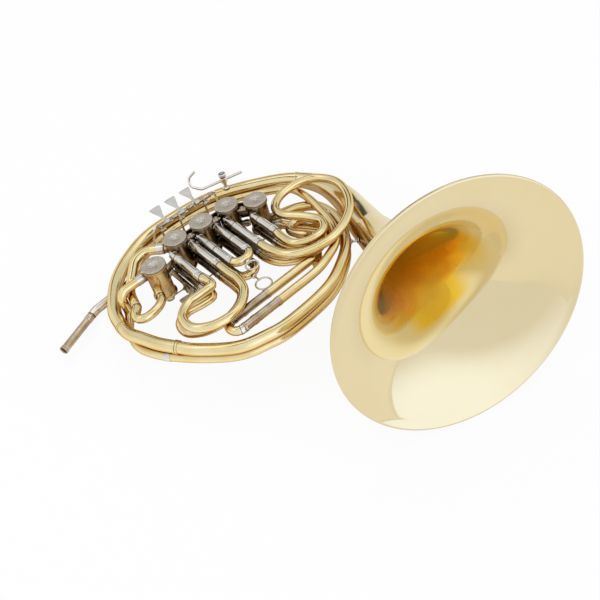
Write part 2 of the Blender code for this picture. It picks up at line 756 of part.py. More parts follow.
def slide_shape(first_mouth, second_mouth, inward, depths, corners, bend=None, radius=TUBE_RADIUS):
    """Crook with two inner legs; its corners are rounded by a bend radius, or it runs through them."""
    first = Vector(first_mouth)
    second = Vector(second_mouth)
    start = first - inward * (GAP + 0.1)
    end = second - inward * (GAP + 0.1)
    route = [start - inward * SHOULDER] + [Vector(corner) for corner in corners] + [end - inward * SHOULDER]
    if bend:
        crook = rounded_path(route, bend)
    else:
        crook = smooth_path(route, CROOK_STEP, first + inward * CROOK_STEP, second + inward * CROOK_STEP)
    path = [first + inward * depths[0], start] + crook + [end, second + inward * depths[1]]
    radii = [LEG_RADIUS] * 2 + [radius] * len(crook) + [LEG_RADIUS] * 2
    return sweep(path, radii, TUBE_SIDES)


def mouth(valve, side, level):
    """Mouth of one outer slide tube."""
    table = SLEEVE_MOUTH if level == UPPER else LOWER_MOUTH
    offset = LEG_OFFSETS[valve][side]
    return VALVES[valve] + ALONG * offset + OUT * table[valve] + UP * level


def ring_on_stem(stem_start, stem_end, ring_centre, ring_radius, wire):
    """Pull ring lying flat, and the stem that carries it."""
    ring = bmesh.new()
    rings = []
    for i in range(RING_TURNS):
        angle = math.tau * i / RING_TURNS
        outward = Vector((math.cos(angle), math.sin(angle), 0.0))
        loop = []
        for k in range(5):
            turn = math.tau * k / 5
            loop.append(ring.verts.new(Vector(ring_centre) + outward * (ring_radius + wire * math.cos(turn))
                                       + UP * (wire * math.sin(turn))))
        rings.append(loop)
    bridge(ring, rings, closed=True)
    return rod(stem_start, stem_end, wire + 0.1, 8), ring


def make_first_slide(root):
    """Upper slide of the first valve: a wide heart-shaped loop."""
    corners = [(-27.5, 3.0, UPPER), (-26.5, -9.5, -16.6), (-40.0, -14.5, -16.6), (-62.0, -22.0, -16.6),
               (-75.5, -41.0, -16.6), (-69.5, -64.0, -16.6), (-46.0, -75.5, -16.6), (-16.0, -69.5, -16.6),
               (3.0, -45.0, -16.6), (4.5, -20.0, -16.6), (-1.5, 3.0, UPPER)]
    shape = slide_shape(mouth("first", 0, UPPER), mouth("first", 1, UPPER), -OUT, (50.0, 50.0), corners)
    add_piece(root, "first_slide", shape, "lacquered_brass")


def make_second_slide(root):
    """Upper slide of the second valve: a short bend with a pull ring."""
    left = mouth("second", 0, UPPER)
    right = mouth("second", 1, UPPER)
    corners = [left + OUT * 14.0, right + OUT * 14.0]
    slide = add_piece(root, "second_slide", slide_shape(left, right, -OUT, (50.0, 50.0), corners, 12.5),
                      "lacquered_brass")
    middle = (left + right) / 2 + OUT * 18.0
    centre = middle + OUT * 12.5
    stem, ring = ring_on_stem(middle, middle + OUT * 4.6, centre, 8.2, 0.9)
    work_on(slide, stem, "UNION", "ring_stem")
    work_on(slide, ring, "UNION", "pull_ring")


def make_third_slide(root):
    """Upper slide of the third valve: a long S folded beside the valves."""
    plan = [(57.5, 10.0), (72.0, -15.0), (94.0, -26.5), (124.0, -26.0), (152.0, -11.5), (175.0, 14.0),
            (187.5, 48.0), (186.0, 80.0), (167.0, 103.5), (140.0, 108.0), (113.0, 98.5), (97.5, 79.0),
            (101.0, 58.0), (121.0, 38.0), (135.0, 17.0), (129.0, -3.0), (108.0, -10.5), (88.0, -1.5),
            (80.5, 20.0)]
    corners = [(x, y, UPPER) for x, y in plan]
    first = mouth("third", 0, UPPER)
    second = mouth("change", 0, UPPER)
    shape = slide_shape(first, second, -OUT, (46.0, 36.0), corners)
    add_piece(root, "third_slide", shape, "lacquered_brass")


def make_low_first_slide(root):
    """Lower slide of the first valve, a heart under the upper one and a little shorter."""
    plan = [(-29.5, 8.0), (-30.0, -3.0), (-45.0, -7.0), (-66.0, -9.5), (-80.0, -23.0), (-77.5, -43.0),
            (-58.0, -54.5), (-34.0, -55.0), (-10.0, -42.5), (3.0, -23.0), (0.5, -3.0), (-3.5, 12.0)]
    corners = [(x, y, LOWER) for x, y in plan]
    left = mouth("first", 0, LOWER)
    right = mouth("first", 1, LOWER)
    shape = slide_shape(left, right, -OUT, (46.0, 46.0), corners)
    add_piece(root, "low_first_slide", shape, "lacquered_brass")


def make_low_second_slide(root):
    """Lower slide of the second valve, with its pull ring further out."""
    left = mouth("second", 0, LOWER)
    right = mouth("second", 1, LOWER)
    corners = [left + OUT * 14.0, right + OUT * 14.0]
    slide = add_piece(root, "low_second_slide", slide_shape(left, right, -OUT, (50.0, 50.0), corners, 12.5),
                      "lacquered_brass")
    middle = (left + right) / 2 + OUT * 18.0
    centre = middle + OUT * 22.0
    stem, ring = ring_on_stem(middle, middle + OUT * 14.2, centre, 8.2, 0.9)
    work_on(slide, stem, "UNION", "ring_stem")
    work_on(slide, ring, "UNION", "pull_ring")


def make_low_third_slide(root):
    """Lower slide of the third valve, folded like the upper one and inside it."""
    plan = [(54.5, 20.0), (66.0, 2.0), (88.0, -9.0), (113.0, -7.0), (132.0, 6.0), (139.0, 28.0),
            (137.5, 49.0), (126.0, 61.5), (110.0, 61.5), (101.5, 51.0), (107.0, 38.0), (117.0, 26.0),
            (111.0, 12.0), (96.0, 11.0), (83.0, 24.0)]
    corners = [(x, y, LOWER) for x, y in plan]
    left = mouth("third", 0, LOWER)
    right = mouth("change", 0, LOWER)
    shape = slide_shape(left, right, -OUT, (40.0, 30.0), corners)
    add_piece(root, "low_third_slide", shape, "lacquered_brass")


def make_main_slide(root):
    """Main tuning slide, which draws out over the ring to the lower left."""
    corners = [MAIN_UPPER_MOUTH - MAIN_AXIS * 11.5, MAIN_LOWER_MOUTH - MAIN_AXIS * 11.5]
    shape = slide_shape(MAIN_UPPER_MOUTH, MAIN_LOWER_MOUTH, MAIN_AXIS, (50.0, 50.0), corners, 10.4, MAIN_RADIUS)
    add_piece(root, "main_tuning_slide", shape, "lacquered_brass")


def outer_tube(start, end, radius, depth):
    """Outer slide tube with a blind bore from its start."""
    start = Vector(start)
    run = Vector(end) - start
    profile = [(0.0001, depth), (BORE_RADIUS, depth), (BORE_RADIUS, 0.0), (radius, 0.0), (radius, run.length),
               (0.0001, run.length)]
    shape = revolve(profile, TUBE_SIDES, start, run)
    bmesh.ops.remove_doubles(shape, verts=shape.verts, dist=0.01)
    bmesh.ops.recalc_face_normals(shape, faces=shape.faces)
    return shape


def make_main_sleeves(root):
    """Two silver outer tubes of the main tuning slide."""
    for name, start in (("main_upper_sleeve", MAIN_UPPER_MOUTH), ("main_lower_sleeve", MAIN_LOWER_MOUTH)):
        shape = outer_tube(start, start + MAIN_AXIS * MAIN_SLEEVE, MAIN_RADIUS + 0.2, MAIN_SLEEVE - 3.0)
        add_piece(root, name, shape, "nickel_silver")


def make_stopping_slide(root):
    """Slide of the stopping valve and the outer tube below the elbow."""
    inward = Vector((0.0, 1.0, 0.0))
    low = Vector((0.0, -27.0, 0.0))
    corners = [STOPPING_SLIDE_FAR + low, STOPPING_SLIDE_MOUTH + low]
    shape = slide_shape(STOPPING_SLIDE_FAR, STOPPING_SLIDE_MOUTH, inward, (18.0, 10.5), corners, 15.6)
    add_piece(root, "stopping_slide", shape, "lacquered_brass")
    top = Vector((-118.6, 56.6, -30.0))
    sleeve = outer_tube(STOPPING_SLIDE_FAR, top, TUBE_RADIUS, 20.0)
    add_piece(root, "stopping_slide_sleeve", sleeve, "nickel_silver")


# Levers, axles and links


def bar(stations, axis, across):
    """Flat bar skinned through (centre, half width, half thickness) stations."""
    across = Vector(across).normalized()
    normal = Vector(axis).normalized().cross(across)
    shape = bmesh.new()
    rings = []
    for centre, half_width, half_thickness in stations:
        rings.append([shape.verts.new(Vector(centre) + across * (half_width * a) + normal * (half_thickness * b))
                      for a, b in ((-1, -1), (1, -1), (1, 1), (-1, 1))])
    return bridge(shape, rings)


def make_lever(root, valve, hinge, axle, outward, paddle_at, arm_at, arm_depth, stations):
    """Lever: a barrel on the axle, a paddle, a hanging arm and the pin of its link."""
    low = min(paddle_at, arm_at) - 3.4
    high = max(paddle_at, arm_at) + 3.4
    middle = hinge + axle * ((low + high) / 2)
    barrel = washer(BARREL_RADIUS, BARREL_BORE, (high - low) / 2, 10, middle, axle)
    lever = add_piece(root, valve + "_lever", barrel, "nickel_silver", hinge)
    paddle_points = [(hinge + axle * paddle_at + outward * out + UP * rise, half_width, 0.8)
                     for out, rise, half_width in stations]
    work_on(lever, bar(paddle_points, outward, axle), "UNION", "paddle")
    arm_top = hinge + axle * arm_at
    arm_points = [(arm_top - UP * 2.4, 1.2, 1.8), (arm_top - UP * (arm_depth - 3.0), 1.2, 1.8),
                  (arm_top - UP * (arm_depth + 2.4), 1.2, 1.8)]
    work_on(lever, bar(arm_points, -UP, axle), "UNION", "arm")
    pin_foot = arm_top - UP * arm_depth
    pin_end = pin_foot + axle * (1.2 + GAP + 2.0 + 0.9)
    work_on(lever, rod(pin_foot, pin_end, EYE_PIN, 8), "UNION", "link_pin")


def make_link(root, valve, hinge, axle, arm_at, arm_depth):
    """Link rod from the lever's arm to the open eye round the stop arm's pin."""
    pivot = hinge + axle * arm_at - UP * arm_depth
    eye_centre = pivot + axle * (1.2 + GAP + 1.0)
    level = pivot.z
    fork_centre = pin_place(valve)
    fork_centre = Vector((fork_centre.x, fork_centre.y, level))
    heading = (fork_centre - eye_centre).normalized()
    eye = washer(EYE_RADIUS, EYE_BORE, 1.0, 8, eye_centre, axle)
    link = add_piece(root, valve + "_link", eye, "steel", pivot)
    start = eye_centre + heading * (EYE_RADIUS - 0.5)
    end = fork_centre - heading * (FORK_RADIUS - 0.6)
    work_on(link, rod(start, end, LINK_ROD_RADIUS, 6), "UNION", "rod")
    work_on(link, washer(FORK_RADIUS, FORK_BORE, PLATE / 2, 9, fork_centre, UP), "UNION", "open_eye")


FINGER_PADDLES = {"first": -26.0, "second": -1.5, "third": 23.0}
FINGER_PADDLE_SHAPE = [(2.4, 0.3, 2.2), (8.0, 1.4, 2.2), (16.0, 3.6, 3.0), (24.0, 6.0, 6.0), (31.0, 8.0, 8.2)]


def finger_hinge():
    """Middle of the finger levers' axle."""
    return row_point(0.0, FINGER_AXLE_BACK, FINGER_AXLE_Z)


def make_finger_levers(root):
    """Three finger levers on one axle, with their links."""
    hinge = finger_hinge()
    depth = FINGER_AXLE_Z - LINK_Z
    for valve, paddle_at in FINGER_PADDLES.items():
        pin = pin_place(valve)
        arm_at = (pin - hinge).dot(ALONG) - (1.2 + GAP + 1.0)
        make_lever(root, valve, hinge, ALONG, -OUT, paddle_at, arm_at, depth, FINGER_PADDLE_SHAPE)
        make_link(root, valve, hinge, ALONG, arm_at, depth)


def make_finger_axle(root):
    """Axle of the finger levers and the two posts that hold its ends."""
    left = row_point(-43.0, FINGER_AXLE_BACK, FINGER_AXLE_Z)
    right = row_point(49.0, FINGER_AXLE_BACK, FINGER_AXLE_Z)
    add_piece(root, "finger_axle", rod(left, right, AXLE_RADIUS, 10), "steel")
    feet = {"left": (left, (-64.8, 152.6, -45.0)), "right": (right, (44.0, 177.0, -45.0))}
    for side, (end, foot) in feet.items():
        sign = -1.0 if side == "left" else 1.0
        top = end + ALONG * (sign * (2.6 + GAP))
        foot = Vector(foot)
        run = foot - top
        length = run.length - 5.6 - GAP
        profile = [(1.2, -2.6), (2.3, -1.4), (2.6, 0.0), (2.3, 1.4), (1.8, 3.0), (1.8, length - 3.0),
                   (3.2, length - 1.0), (3.2, length)]
        add_piece(root, side + "_lever_post", revolve(profile, 9, top, run), "nickel_silver")


THUMB_PADDLE_SHAPE = [(2.4, -1.0, 2.2), (7.0, -3.0, 2.6), (11.0, -4.6, 5.0), (22.0, -5.2, 5.8)]
STOPPING_PADDLE_SHAPE = [(2.4, -1.0, 2.2), (8.0, -4.0, 3.0), (14.0, -6.0, 5.0), (28.0, -6.6, 5.4)]


def make_thumb_levers(root):
    """Two thumb levers on one axle under the horn, with their links."""
    back = -OUT
    hinge = row_point(THUMB_AXLE_U, 0.0, THUMB_AXLE_Z)
    depth = THUMB_AXLE_Z - LONG_LINK_Z
    stand = 1.2 + GAP + 1.0
    change_arm = (pin_place("change") - hinge).dot(back) - stand
    make_lever(root, "change", hinge, back, -ALONG, -51.0, change_arm, depth, THUMB_PADDLE_SHAPE)
    make_link(root, "change", hinge, back, change_arm, depth)
    stopping_arm = (pin_place("stopping") - hinge).dot(back) - stand
    make_lever(root, "stopping", hinge, back, -ALONG, 2.2, stopping_arm, depth, STOPPING_PADDLE_SHAPE)
    make_link(root, "stopping", hinge, back, stopping_arm, depth)


def make_thumb_axle(root):
    """Axle of the thumb levers, its ends bent up to the first valve and its lower slide tube."""
    sleeve_u = -VALVE_SPACING + LEG_OFFSETS["first"][0]
    casing_lean = CASING_RADIUS + GAP + AXLE_RADIUS
    casing_tip_u = -VALVE_SPACING - math.sqrt(casing_lean**2 - AXLE_BACK_END**2)
    sleeve_drop = math.sqrt((TUBE_RADIUS + GAP + AXLE_RADIUS) ** 2 - AXLE_LEAN**2) + 1.2
    corners = [row_point(casing_tip_u, AXLE_BACK_END, -45.6),
               row_point(THUMB_AXLE_U, AXLE_BACK_END, THUMB_AXLE_Z),
               row_point(THUMB_AXLE_U, AXLE_FRONT_END, THUMB_AXLE_Z),
               row_point(sleeve_u - AXLE_LEAN, AXLE_FRONT_END, LOWER - sleeve_drop)]
    path = rounded_path(corners, 2.2)
    add_piece(root, "thumb_axle", sweep(path, [AXLE_RADIUS] * len(path), 8), "steel")


# Hook for the little finger

HOOK_Y = 190.0
HOOK_Z = -18.0
HOOK_POST_X = 64.0
HOOK_ROD = 2.0


def make_finger_hook(root):
    """Hook on a rod that slides through its post, held by a thumbscrew."""
    corners = [(92.0, HOOK_Y, HOOK_Z), (30.0, HOOK_Y, HOOK_Z), (18.0, HOOK_Y + 4.0, HOOK_Z + 8.0),
               (18.0, HOOK_Y + 9.0, HOOK_Z + 19.0), (29.0, HOOK_Y + 6.0, HOOK_Z + 27.0)]
    path = rounded_path(corners, 9.0)
    add_piece(root, "finger_hook", sweep(path, [HOOK_ROD] * len(path), 10), "nickel_silver",
              (HOOK_POST_X, HOOK_Y, HOOK_Z))
    foot = -42.0 + 10.2 + GAP
    base = Vector((HOOK_POST_X, HOOK_Y + 1.6, 0.0))
    profile = [(5.2, foot), (5.2, foot + 1.2), (3.8, foot + 3.0), (3.8, HOOK_Z - 4.0), (4.8, HOOK_Z - 3.2),
               (4.8, HOOK_Z + 4.4), (2.0, HOOK_Z + 4.4)]
    post = add_piece(root, "hook_post", revolve(profile, 14, (base.x, HOOK_Y, 0.0), UP), "nickel_silver")
    bore = rod((HOOK_POST_X - 8.0, HOOK_Y, HOOK_Z), (HOOK_POST_X + 8.0, HOOK_Y, HOOK_Z), HOOK_ROD + 0.45, 10)
    work_on(post, bore, "DIFFERENCE", "rod_hole")
    head = HOOK_Z + 4.4 + GAP
    screw = [(2.4, head), (2.4, head + 1.4), (5.0, head + 2.0), (5.4, head + 2.6), (5.4, head + 5.4),
             (4.8, head + 6.0), (1.0, head + 6.0)]
    add_piece(root, "hook_thumbscrew", revolve(screw, 14, (HOOK_POST_X, HOOK_Y, 0.0), UP), "nickel_silver",
              (HOOK_POST_X, HOOK_Y, head))


def make_braces(root):
    """Struts that tie the leadpipe, ring and bell together."""
    brace(root, "bell_brace", (151.0, -12.0, -43.0), 7.9, (193.1, -26.0, -50.8), 28.6)
    brace(root, "leadpipe_brace", (149.0, 48.0, -30.0), 5.9, (162.0, 51.0, -42.5), 7.3)
    brace(root, "row_brace", (-34.0, 166.2, -45.0), 6.6, (-42.7, 107.0, -44.0), 17.0)


def settle(root):
    """Move the horn so that the middle of its box's foot is the origin."""
    bpy.context.view_layer.update()
    graph = bpy.context.evaluated_depsgraph_get()
    low = Vector((math.inf,) * 3)
    high = Vector((-math.inf,) * 3)
    for piece in root.children:
        if piece.hide_render:
            continue
        for vertex in piece.evaluated_get(graph).data.vertices:
            point = piece.matrix_world @ vertex.co
            low = Vector(map(min, low, point))
            high = Vector(map(max, high, point))
    middle = (low + high) / 2
    root.location -= Vector((middle.x, middle.y, low.z))


def main():
    """Build the whole horn."""
    clear_scene()
    root = make_root()
    make_bell(root)
    make_ring(root)
    make_stopping_tube(root)
    make_stacked_tube(root)
    make_elbow(root)
    make_leadpipe(root)
    make_receiver(root)
    make_feed(root)
    make_casings(root)
    for valve in VALVES:
        make_rotor(root, valve)
        make_cap(root, valve)
    make_first_slide(root)
    make_second_slide(root)
    make_third_slide(root)
    make_low_first_slide(root)
    make_low_second_slide(root)
    make_low_third_slide(root)
    make_main_slide(root)
    make_main_sleeves(root)
    make_stopping_slide(root)
    make_finger_levers(root)
    make_finger_axle(root)
    make_thumb_levers(root)
    make_thumb_axle(root)
    make_finger_hook(root)
    make_braces(root)
    settle(root)


main()
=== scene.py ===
"""Dressed double french horn on a white table, seen from above in front of its bell.

Shapes are built in millimetres in the horn's own frame, as in the part's source:
X along the valve row towards the bell, Y away from the bell's mouth, Z up from the
valve caps. place_matrix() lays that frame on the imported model, in metres.
"""

import math

import bpy
from mathutils import Matrix, Vector


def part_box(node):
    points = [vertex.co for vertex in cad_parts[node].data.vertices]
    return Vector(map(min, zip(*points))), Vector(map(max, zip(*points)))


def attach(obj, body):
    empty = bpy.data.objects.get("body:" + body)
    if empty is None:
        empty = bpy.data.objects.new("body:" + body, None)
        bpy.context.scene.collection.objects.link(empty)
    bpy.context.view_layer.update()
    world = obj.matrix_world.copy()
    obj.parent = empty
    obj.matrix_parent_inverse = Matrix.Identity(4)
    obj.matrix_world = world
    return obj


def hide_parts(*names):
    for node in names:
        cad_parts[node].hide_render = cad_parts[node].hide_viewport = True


MM = 0.001
GAP = 0.3
FINE = 40
TILT = Matrix.Rotation(math.radians(-2.553), 4, "Y") @ Matrix.Rotation(math.radians(-15.015), 4, "X")

# Bell
RIM_RADIUS = 155.5
RIM_CENTRE = Vector((193.1, -221.0, -22.6))
MOUTH_TILT = math.radians(8.0)
MOUTHWARD = Vector((0.0, -math.cos(MOUTH_TILT), math.sin(MOUTH_TILT)))
THROAT_DEPTH = 225.0

# Valve row
ALONG = Vector((0.970, 0.242, 0.0)).normalized()
OUT = Vector((0.242, -0.970, 0.0)).normalized()
UP = Vector((0.0, 0.0, 1.0))
ROW_CENTRE = Vector((2.0, 101.0, 0.0))
SPACING = 41.5
UPPER = -17.0
LOWER = -39.0
KNUCKLE_Z = -28.0
CASING_TOP = -5.0
CASING_BOTTOM = -52.0
CASING_RADIUS = 15.2
FLANGE_RADIUS = 16.0
TUBE_RADIUS = 6.0
LEG_RADIUS = 4.95
PORT_REACH = 18.6
FINGER_CRANK = 8.5
THUMB_CRANK = 5.0
LINK_Z = -58.4
LONG_LINK_Z = -66.0
MAIN_Z = -28.8
MAIN_AXIS = Vector((0.955, 0.297, 0.0)).normalized()
MAIN_UPPER = Vector((-24.0, -68.0, MAIN_Z))
MAIN_LOWER = MAIN_UPPER + Vector((MAIN_AXIS.y, -MAIN_AXIS.x, 0.0)) * 21.3
MAIN_SLEEVE = 56.0


def row_point(u, back, z=0.0):
    """Point at u along the valve row and so far behind it."""
    return ROW_CENTRE + ALONG * u - OUT * back + UP * z


VALVES = {
    "first": row_point(-SPACING, 0.0),
    "second": row_point(0.0, 0.0),
    "third": row_point(SPACING, 0.0),
    "change": row_point(SPACING + 31.0, -24.0),
    "stopping": row_point(-SPACING - 47.0, -23.0),
}
LEG_OFFSETS = {"first": (-13.5, 14.5), "second": (-12.8, 13.6), "third": (-10.2,), "change": (-13.6,)}
UPPER_MOUTH = {"first": 70.0, "second": 80.0, "third": 80.0, "change": 55.0}
LOWER_MOUTH = {"first": 66.0, "second": 84.0, "third": 74.0, "change": 50.0}

# Centre line of the ring, one turn from the bell's tail to the change valve
RING = {
    "tail": [(193.5, 36.0, -53.0), (194.0, 79.0, -51.0), (184.0, 122.0, -48.0), (158.0, 153.0, -44.0)],
    "branch": [(158.0, 153.0, -44.0), (122.0, 172.0, -42.0), (62.0, 192.0, -42.0), (14.0, 194.0, -42.0),
               (-56.0, 178.0, -42.0), (-97.0, 150.0, -42.0), (-129.0, 109.0, -42.0),
               (-146.0, 57.0, -42.0), (-144.6, 20.0, -42.0)],
    "lower": [(-144.6, 20.0, -42.0), (-140.0, 3.0, -42.2), (-129.0, -13.0, -42.5), (-114.0, -34.0, -43.0),
              (-95.6, -53.3, -43.2)],
    "inner": [(-95.6, -53.3, -43.2), (-74.0, -73.0, -43.5), (-34.0, -97.0, -43.5), (1.0, -101.0, -43.5),
              (35.0, -97.0, -43.5),
              (94.0, -74.0, -43.5), (129.0, -44.0, -43.5), (153.0, -9.0, -43.0), (163.0, 38.0, -42.5),
              (155.0, 76.0, -42.5), (134.0, 91.5, -42.5), (112.0, 95.2, -42.5), (97.4, 95.3, -42.5)],
}


# Paths


def rounded(corners, bend, arc_step=math.radians(7.0)):
    """Straight runs between corners, with an arc of the bend radius at each corner."""
    corners = [Vector(corner) for corner in corners]
    last = len(corners) - 1
    path = [corners[0]]
    for i in range(1, last):
        corner = corners[i]
        before = corners[i - 1] - corner
        after = corners[i + 1] - corner
        turn = math.pi - before.angle(after)
        if turn < math.radians(1.0):
            continue
        room_before = before.length * (0.97 if i == 1 else 0.5)
        room_after = after.length * (0.97 if i == last - 1 else 0.5)
        reach = min(bend * math.tan(turn / 2), room_before, room_after)
        radius = reach / math.tan(turn / 2)
        inward = (before.normalized() + after.normalized()).normalized()
        centre = corner + inward * (radius / math.cos(turn / 2))
        spoke = corner + before.normalized() * reach - centre
        axis = (-before).cross(after)
        steps = max(2, round(turn / arc_step))
        for k in range(steps + 1):
            point = centre + Matrix.Rotation(turn * k / steps, 3, axis) @ spoke
            if (point - path[-1]).length > 0.2:
                path.append(point)
    path.append(corners[-1])
    return path


def smooth(points, spacing=5.0, before=None, after=None):
    """Curve through every point, in even steps."""
    points = [Vector(point) for point in points]
    first = Vector(before) if before else points[0] * 2 - points[1]
    final = Vector(after) if after else points[-1] * 2 - points[-2]
    ends = [first] + points + [final]
    path = [points[0]]
    for a, b, c, d in zip(ends, ends[1:], ends[2:], ends[3:]):
        steps = max(1, round((c - b).length / spacing))
        for k in range(1, steps + 1):
            t = k / steps
            path.append(0.5 * (2 * b + (c - a) * t + (2 * a - 5 * b + 4 * c - d) * t**2
                               + (3 * b - a - 3 * c + d) * t**3))
    return path


def travel(path):
    """Length along a path at each of its points."""
    lengths = [0.0]
    for low, high in zip(path, path[1:]):
        lengths.append(lengths[-1] + (high - low).length)
    return lengths


def taper(path, start_radius, end_radius):
    """Radii that run evenly from one end of a path to the other."""
    lengths = travel(path)
    return [start_radius + (end_radius - start_radius) * s / lengths[-1] for s in lengths]


# Shapes are pairs of lists: points, and faces as tuples of their numbers


def skin(rings, closed=False, caps=(True, True)):
    """Quads over rings of equal count, with flat caps at open ends."""
    count = len(rings[0])
    points = [point for loop in rings for point in loop]
    faces = []
    total = len(rings)
    for r in range(total if closed else total - 1):
        low = r * count
        high = ((r + 1) % total) * count
        for i in range(count):
            j = (i + 1) % count
            faces.append((low + i, low + j, high + j, high + i))
    if not closed:
        if caps[0]:
            faces.append(tuple(range(count))[::-1])
        if caps[1]:
            faces.append(tuple((total - 1) * count + i for i in range(count)))
    return points, faces


def turned(origin, direction):
    """Matrix that turns a shape's own Z to a direction and moves it to its origin."""
    turn = Vector(direction).normalized().to_track_quat("Z", "Y").to_matrix()
    return Matrix.Translation(Vector(origin)) @ turn.to_4x4()


def revolve(profile, origin=(0, 0, 0), direction=(0, 0, 1), ring=False, sides=FINE):
    """Turn (radius, height) points about the axis; a ring's profile closes on itself."""
    matrix = turned(origin, direction)
    rings = []
    for radius, height in profile:
        loop = []
        for i in range(sides):
            angle = math.tau * (i + 0.5) / sides
            loop.append(matrix @ Vector((radius * math.cos(angle), radius * math.sin(angle), height)))
        rings.append(loop)
    return skin(rings, closed=ring)


def sweep(path, radii, sides=FINE, caps=(True, True)):
    """Tube along a path without twist, one radius for each point or one for all."""
    path = [Vector(point) for point in path]
    if isinstance(radii, (int, float)):
        radii = [radii] * len(path)
    rings = []
    side = None
    last = len(path) - 1
    for i, point in enumerate(path):
        ahead = path[min(i + 1, last)] - point
        behind = point - path[max(i - 1, 0)]
        if i == 0:
            tangent = ahead.normalized()
        elif i == last:
            tangent = behind.normalized()
        else:
            tangent = (ahead.normalized() + behind.normalized()).normalized()
        if side is None:
            side = UP if abs(tangent.dot(UP)) < 0.8 else Vector((1.0, 0.0, 0.0))
        side = (side - tangent * side.dot(tangent)).normalized()
        across = tangent.cross(side)
        rings.append([point + (side * math.cos(math.tau * k / sides) + across * math.sin(math.tau * k / sides))
                      * radii[i] for k in range(sides)])
    return skin(rings, caps=caps)


def rod(start, end, radius, sides=24, chamfer=0.25):
    """Round bar between two points, its edges broken."""
    start = Vector(start)
    run = Vector(end) - start
    length = run.length
    edge = min(chamfer, radius * 0.5, length * 0.25)
    profile = [(radius - edge, 0.0), (radius, edge), (radius, length - edge), (radius - edge, length)]
    return revolve(profile, start, run, sides=sides)


def band(place_at, direction, radius, length, wall=0.35):
    """Two halves of a ferrule, one on each tube's end, with the joint between them."""
    halves = []
    for low, high in ((-length / 2, -0.3), (0.3, length / 2)):
        profile = [(radius - 0.6, low), (radius + wall - 0.3, low), (radius + wall, low + 0.3),
                   (radius + wall, high - 0.1), (radius + wall - 0.1, high), (radius - 0.6, high)]
        halves.append(revolve(profile, place_at, direction, ring=True, sides=48))
    return halves


def seam(place_at, direction, radius, width=0.8):
    """Dark solder line round a tube."""
    half = width / 2
    profile = [(radius - 0.4, -half), (radius + 0.08, -half), (radius + 0.08, half), (radius - 0.4, half)]
    return revolve(profile, place_at, direction, ring=True, sides=40)


def collar(radius, wall, start, length, direction):
    """Plain sleeve round a tube, from its start."""
    edge = min(0.3, wall / 2)
    profile = [(radius - 0.5, 0.0), (radius + wall - edge, 0.0), (radius + wall, edge),
               (radius + wall, length - edge), (radius + wall - edge, length), (radius - 0.5, length)]
    return revolve(profile, start, direction, ring=True, sides=48)


def ball(centre, radius, direction=UP):
    """Round knob."""
    steps = 14
    profile = [(max(radius * math.sin(math.pi * k / steps), 0.02), -radius * math.cos(math.pi * k / steps))
               for k in range(steps + 1)]
    return revolve(profile, centre, direction, sides=24)


def wire_ring(centre, radius, wire, normal=UP, flat=1.0, steps=64, sides=14):
    """Closed ring of wire, its section squashed along the normal if flat is under 1."""
    matrix = turned(centre, normal)
    rings = []
    for i in range(steps):
        angle = math.tau * i / steps
        outward = Vector((math.cos(angle), math.sin(angle), 0.0))
        rings.append([matrix @ (outward * (radius + wire * math.cos(math.tau * k / sides))
                                + UP * (wire * flat * math.sin(math.tau * k / sides))) for k in range(sides)])
    return skin(rings, closed=True)


def plate(outline, low, high, edge=0.25):
    """Flat plate between two heights with broken edges, its outline given counter-clockwise in 3-D."""
    middle = sum(outline, Vector()) / len(outline)
    reach = max((point - middle).length for point in outline)
    inset = [middle + (point - middle) * (1.0 - edge / reach) for point in outline]
    rings = [[p + UP * low for p in inset], [p + UP * (low + edge) for p in outline],
             [p + UP * (high - edge) for p in outline], [p + UP * high for p in inset]]
    return skin(rings)


def cut_path(path, start, end):
    """Stretch of a path between two lengths along it."""
    lengths = travel(path)
    stretch = []
    for target in (start, end):
        for i in range(1, len(path)):
            if lengths[i] >= target or i == len(path) - 1:
                share = (target - lengths[i - 1]) / max(lengths[i] - lengths[i - 1], 1e-9)
                share = min(max(share, 0.0), 1.0)
                stretch.append((i, path[i - 1].lerp(path[i], share)))
                break
    (first, low), (second, high) = stretch
    inner = [point for point in path[first:second] if (point - low).length > 0.05 and (point - high).length > 0.05]
    return [low] + inner + [high]


# Materials


def node_material(name):
    """Empty node material with its shader, and a helper that adds and links nodes."""
    material = bpy.data.materials.new(name)
    material.use_nodes = True
    nodes = material.node_tree.nodes
    links = material.node_tree.links
    shader = nodes["Principled BSDF"]
    coords = nodes.new("ShaderNodeTexCoord")

    def add(kind, inputs=None, **settings):
        node = nodes.new(kind)
        for key, value in settings.items():
            setattr(node, key, value)
        for key, value in (inputs or {}).items():
            if isinstance(value, bpy.types.NodeSocket):
                links.new(value, node.inputs[key])
            else:
                node.inputs[key].default_value = value
        return node

    return material, shader, coords, add, links


def ramp_node(add, factor, stops):
    """Colour ramp through (position, colour) stops."""
    ramp = add("ShaderNodeValToRGB", {"Fac": factor})
    points = ramp.color_ramp.elements
    while len(points) < len(stops):
        points.new(0.5)
    for point, (position, colour) in zip(points, stops):
        point.position = position
        point.color = (*colour, 1.0)
    return ramp.outputs["Color"]


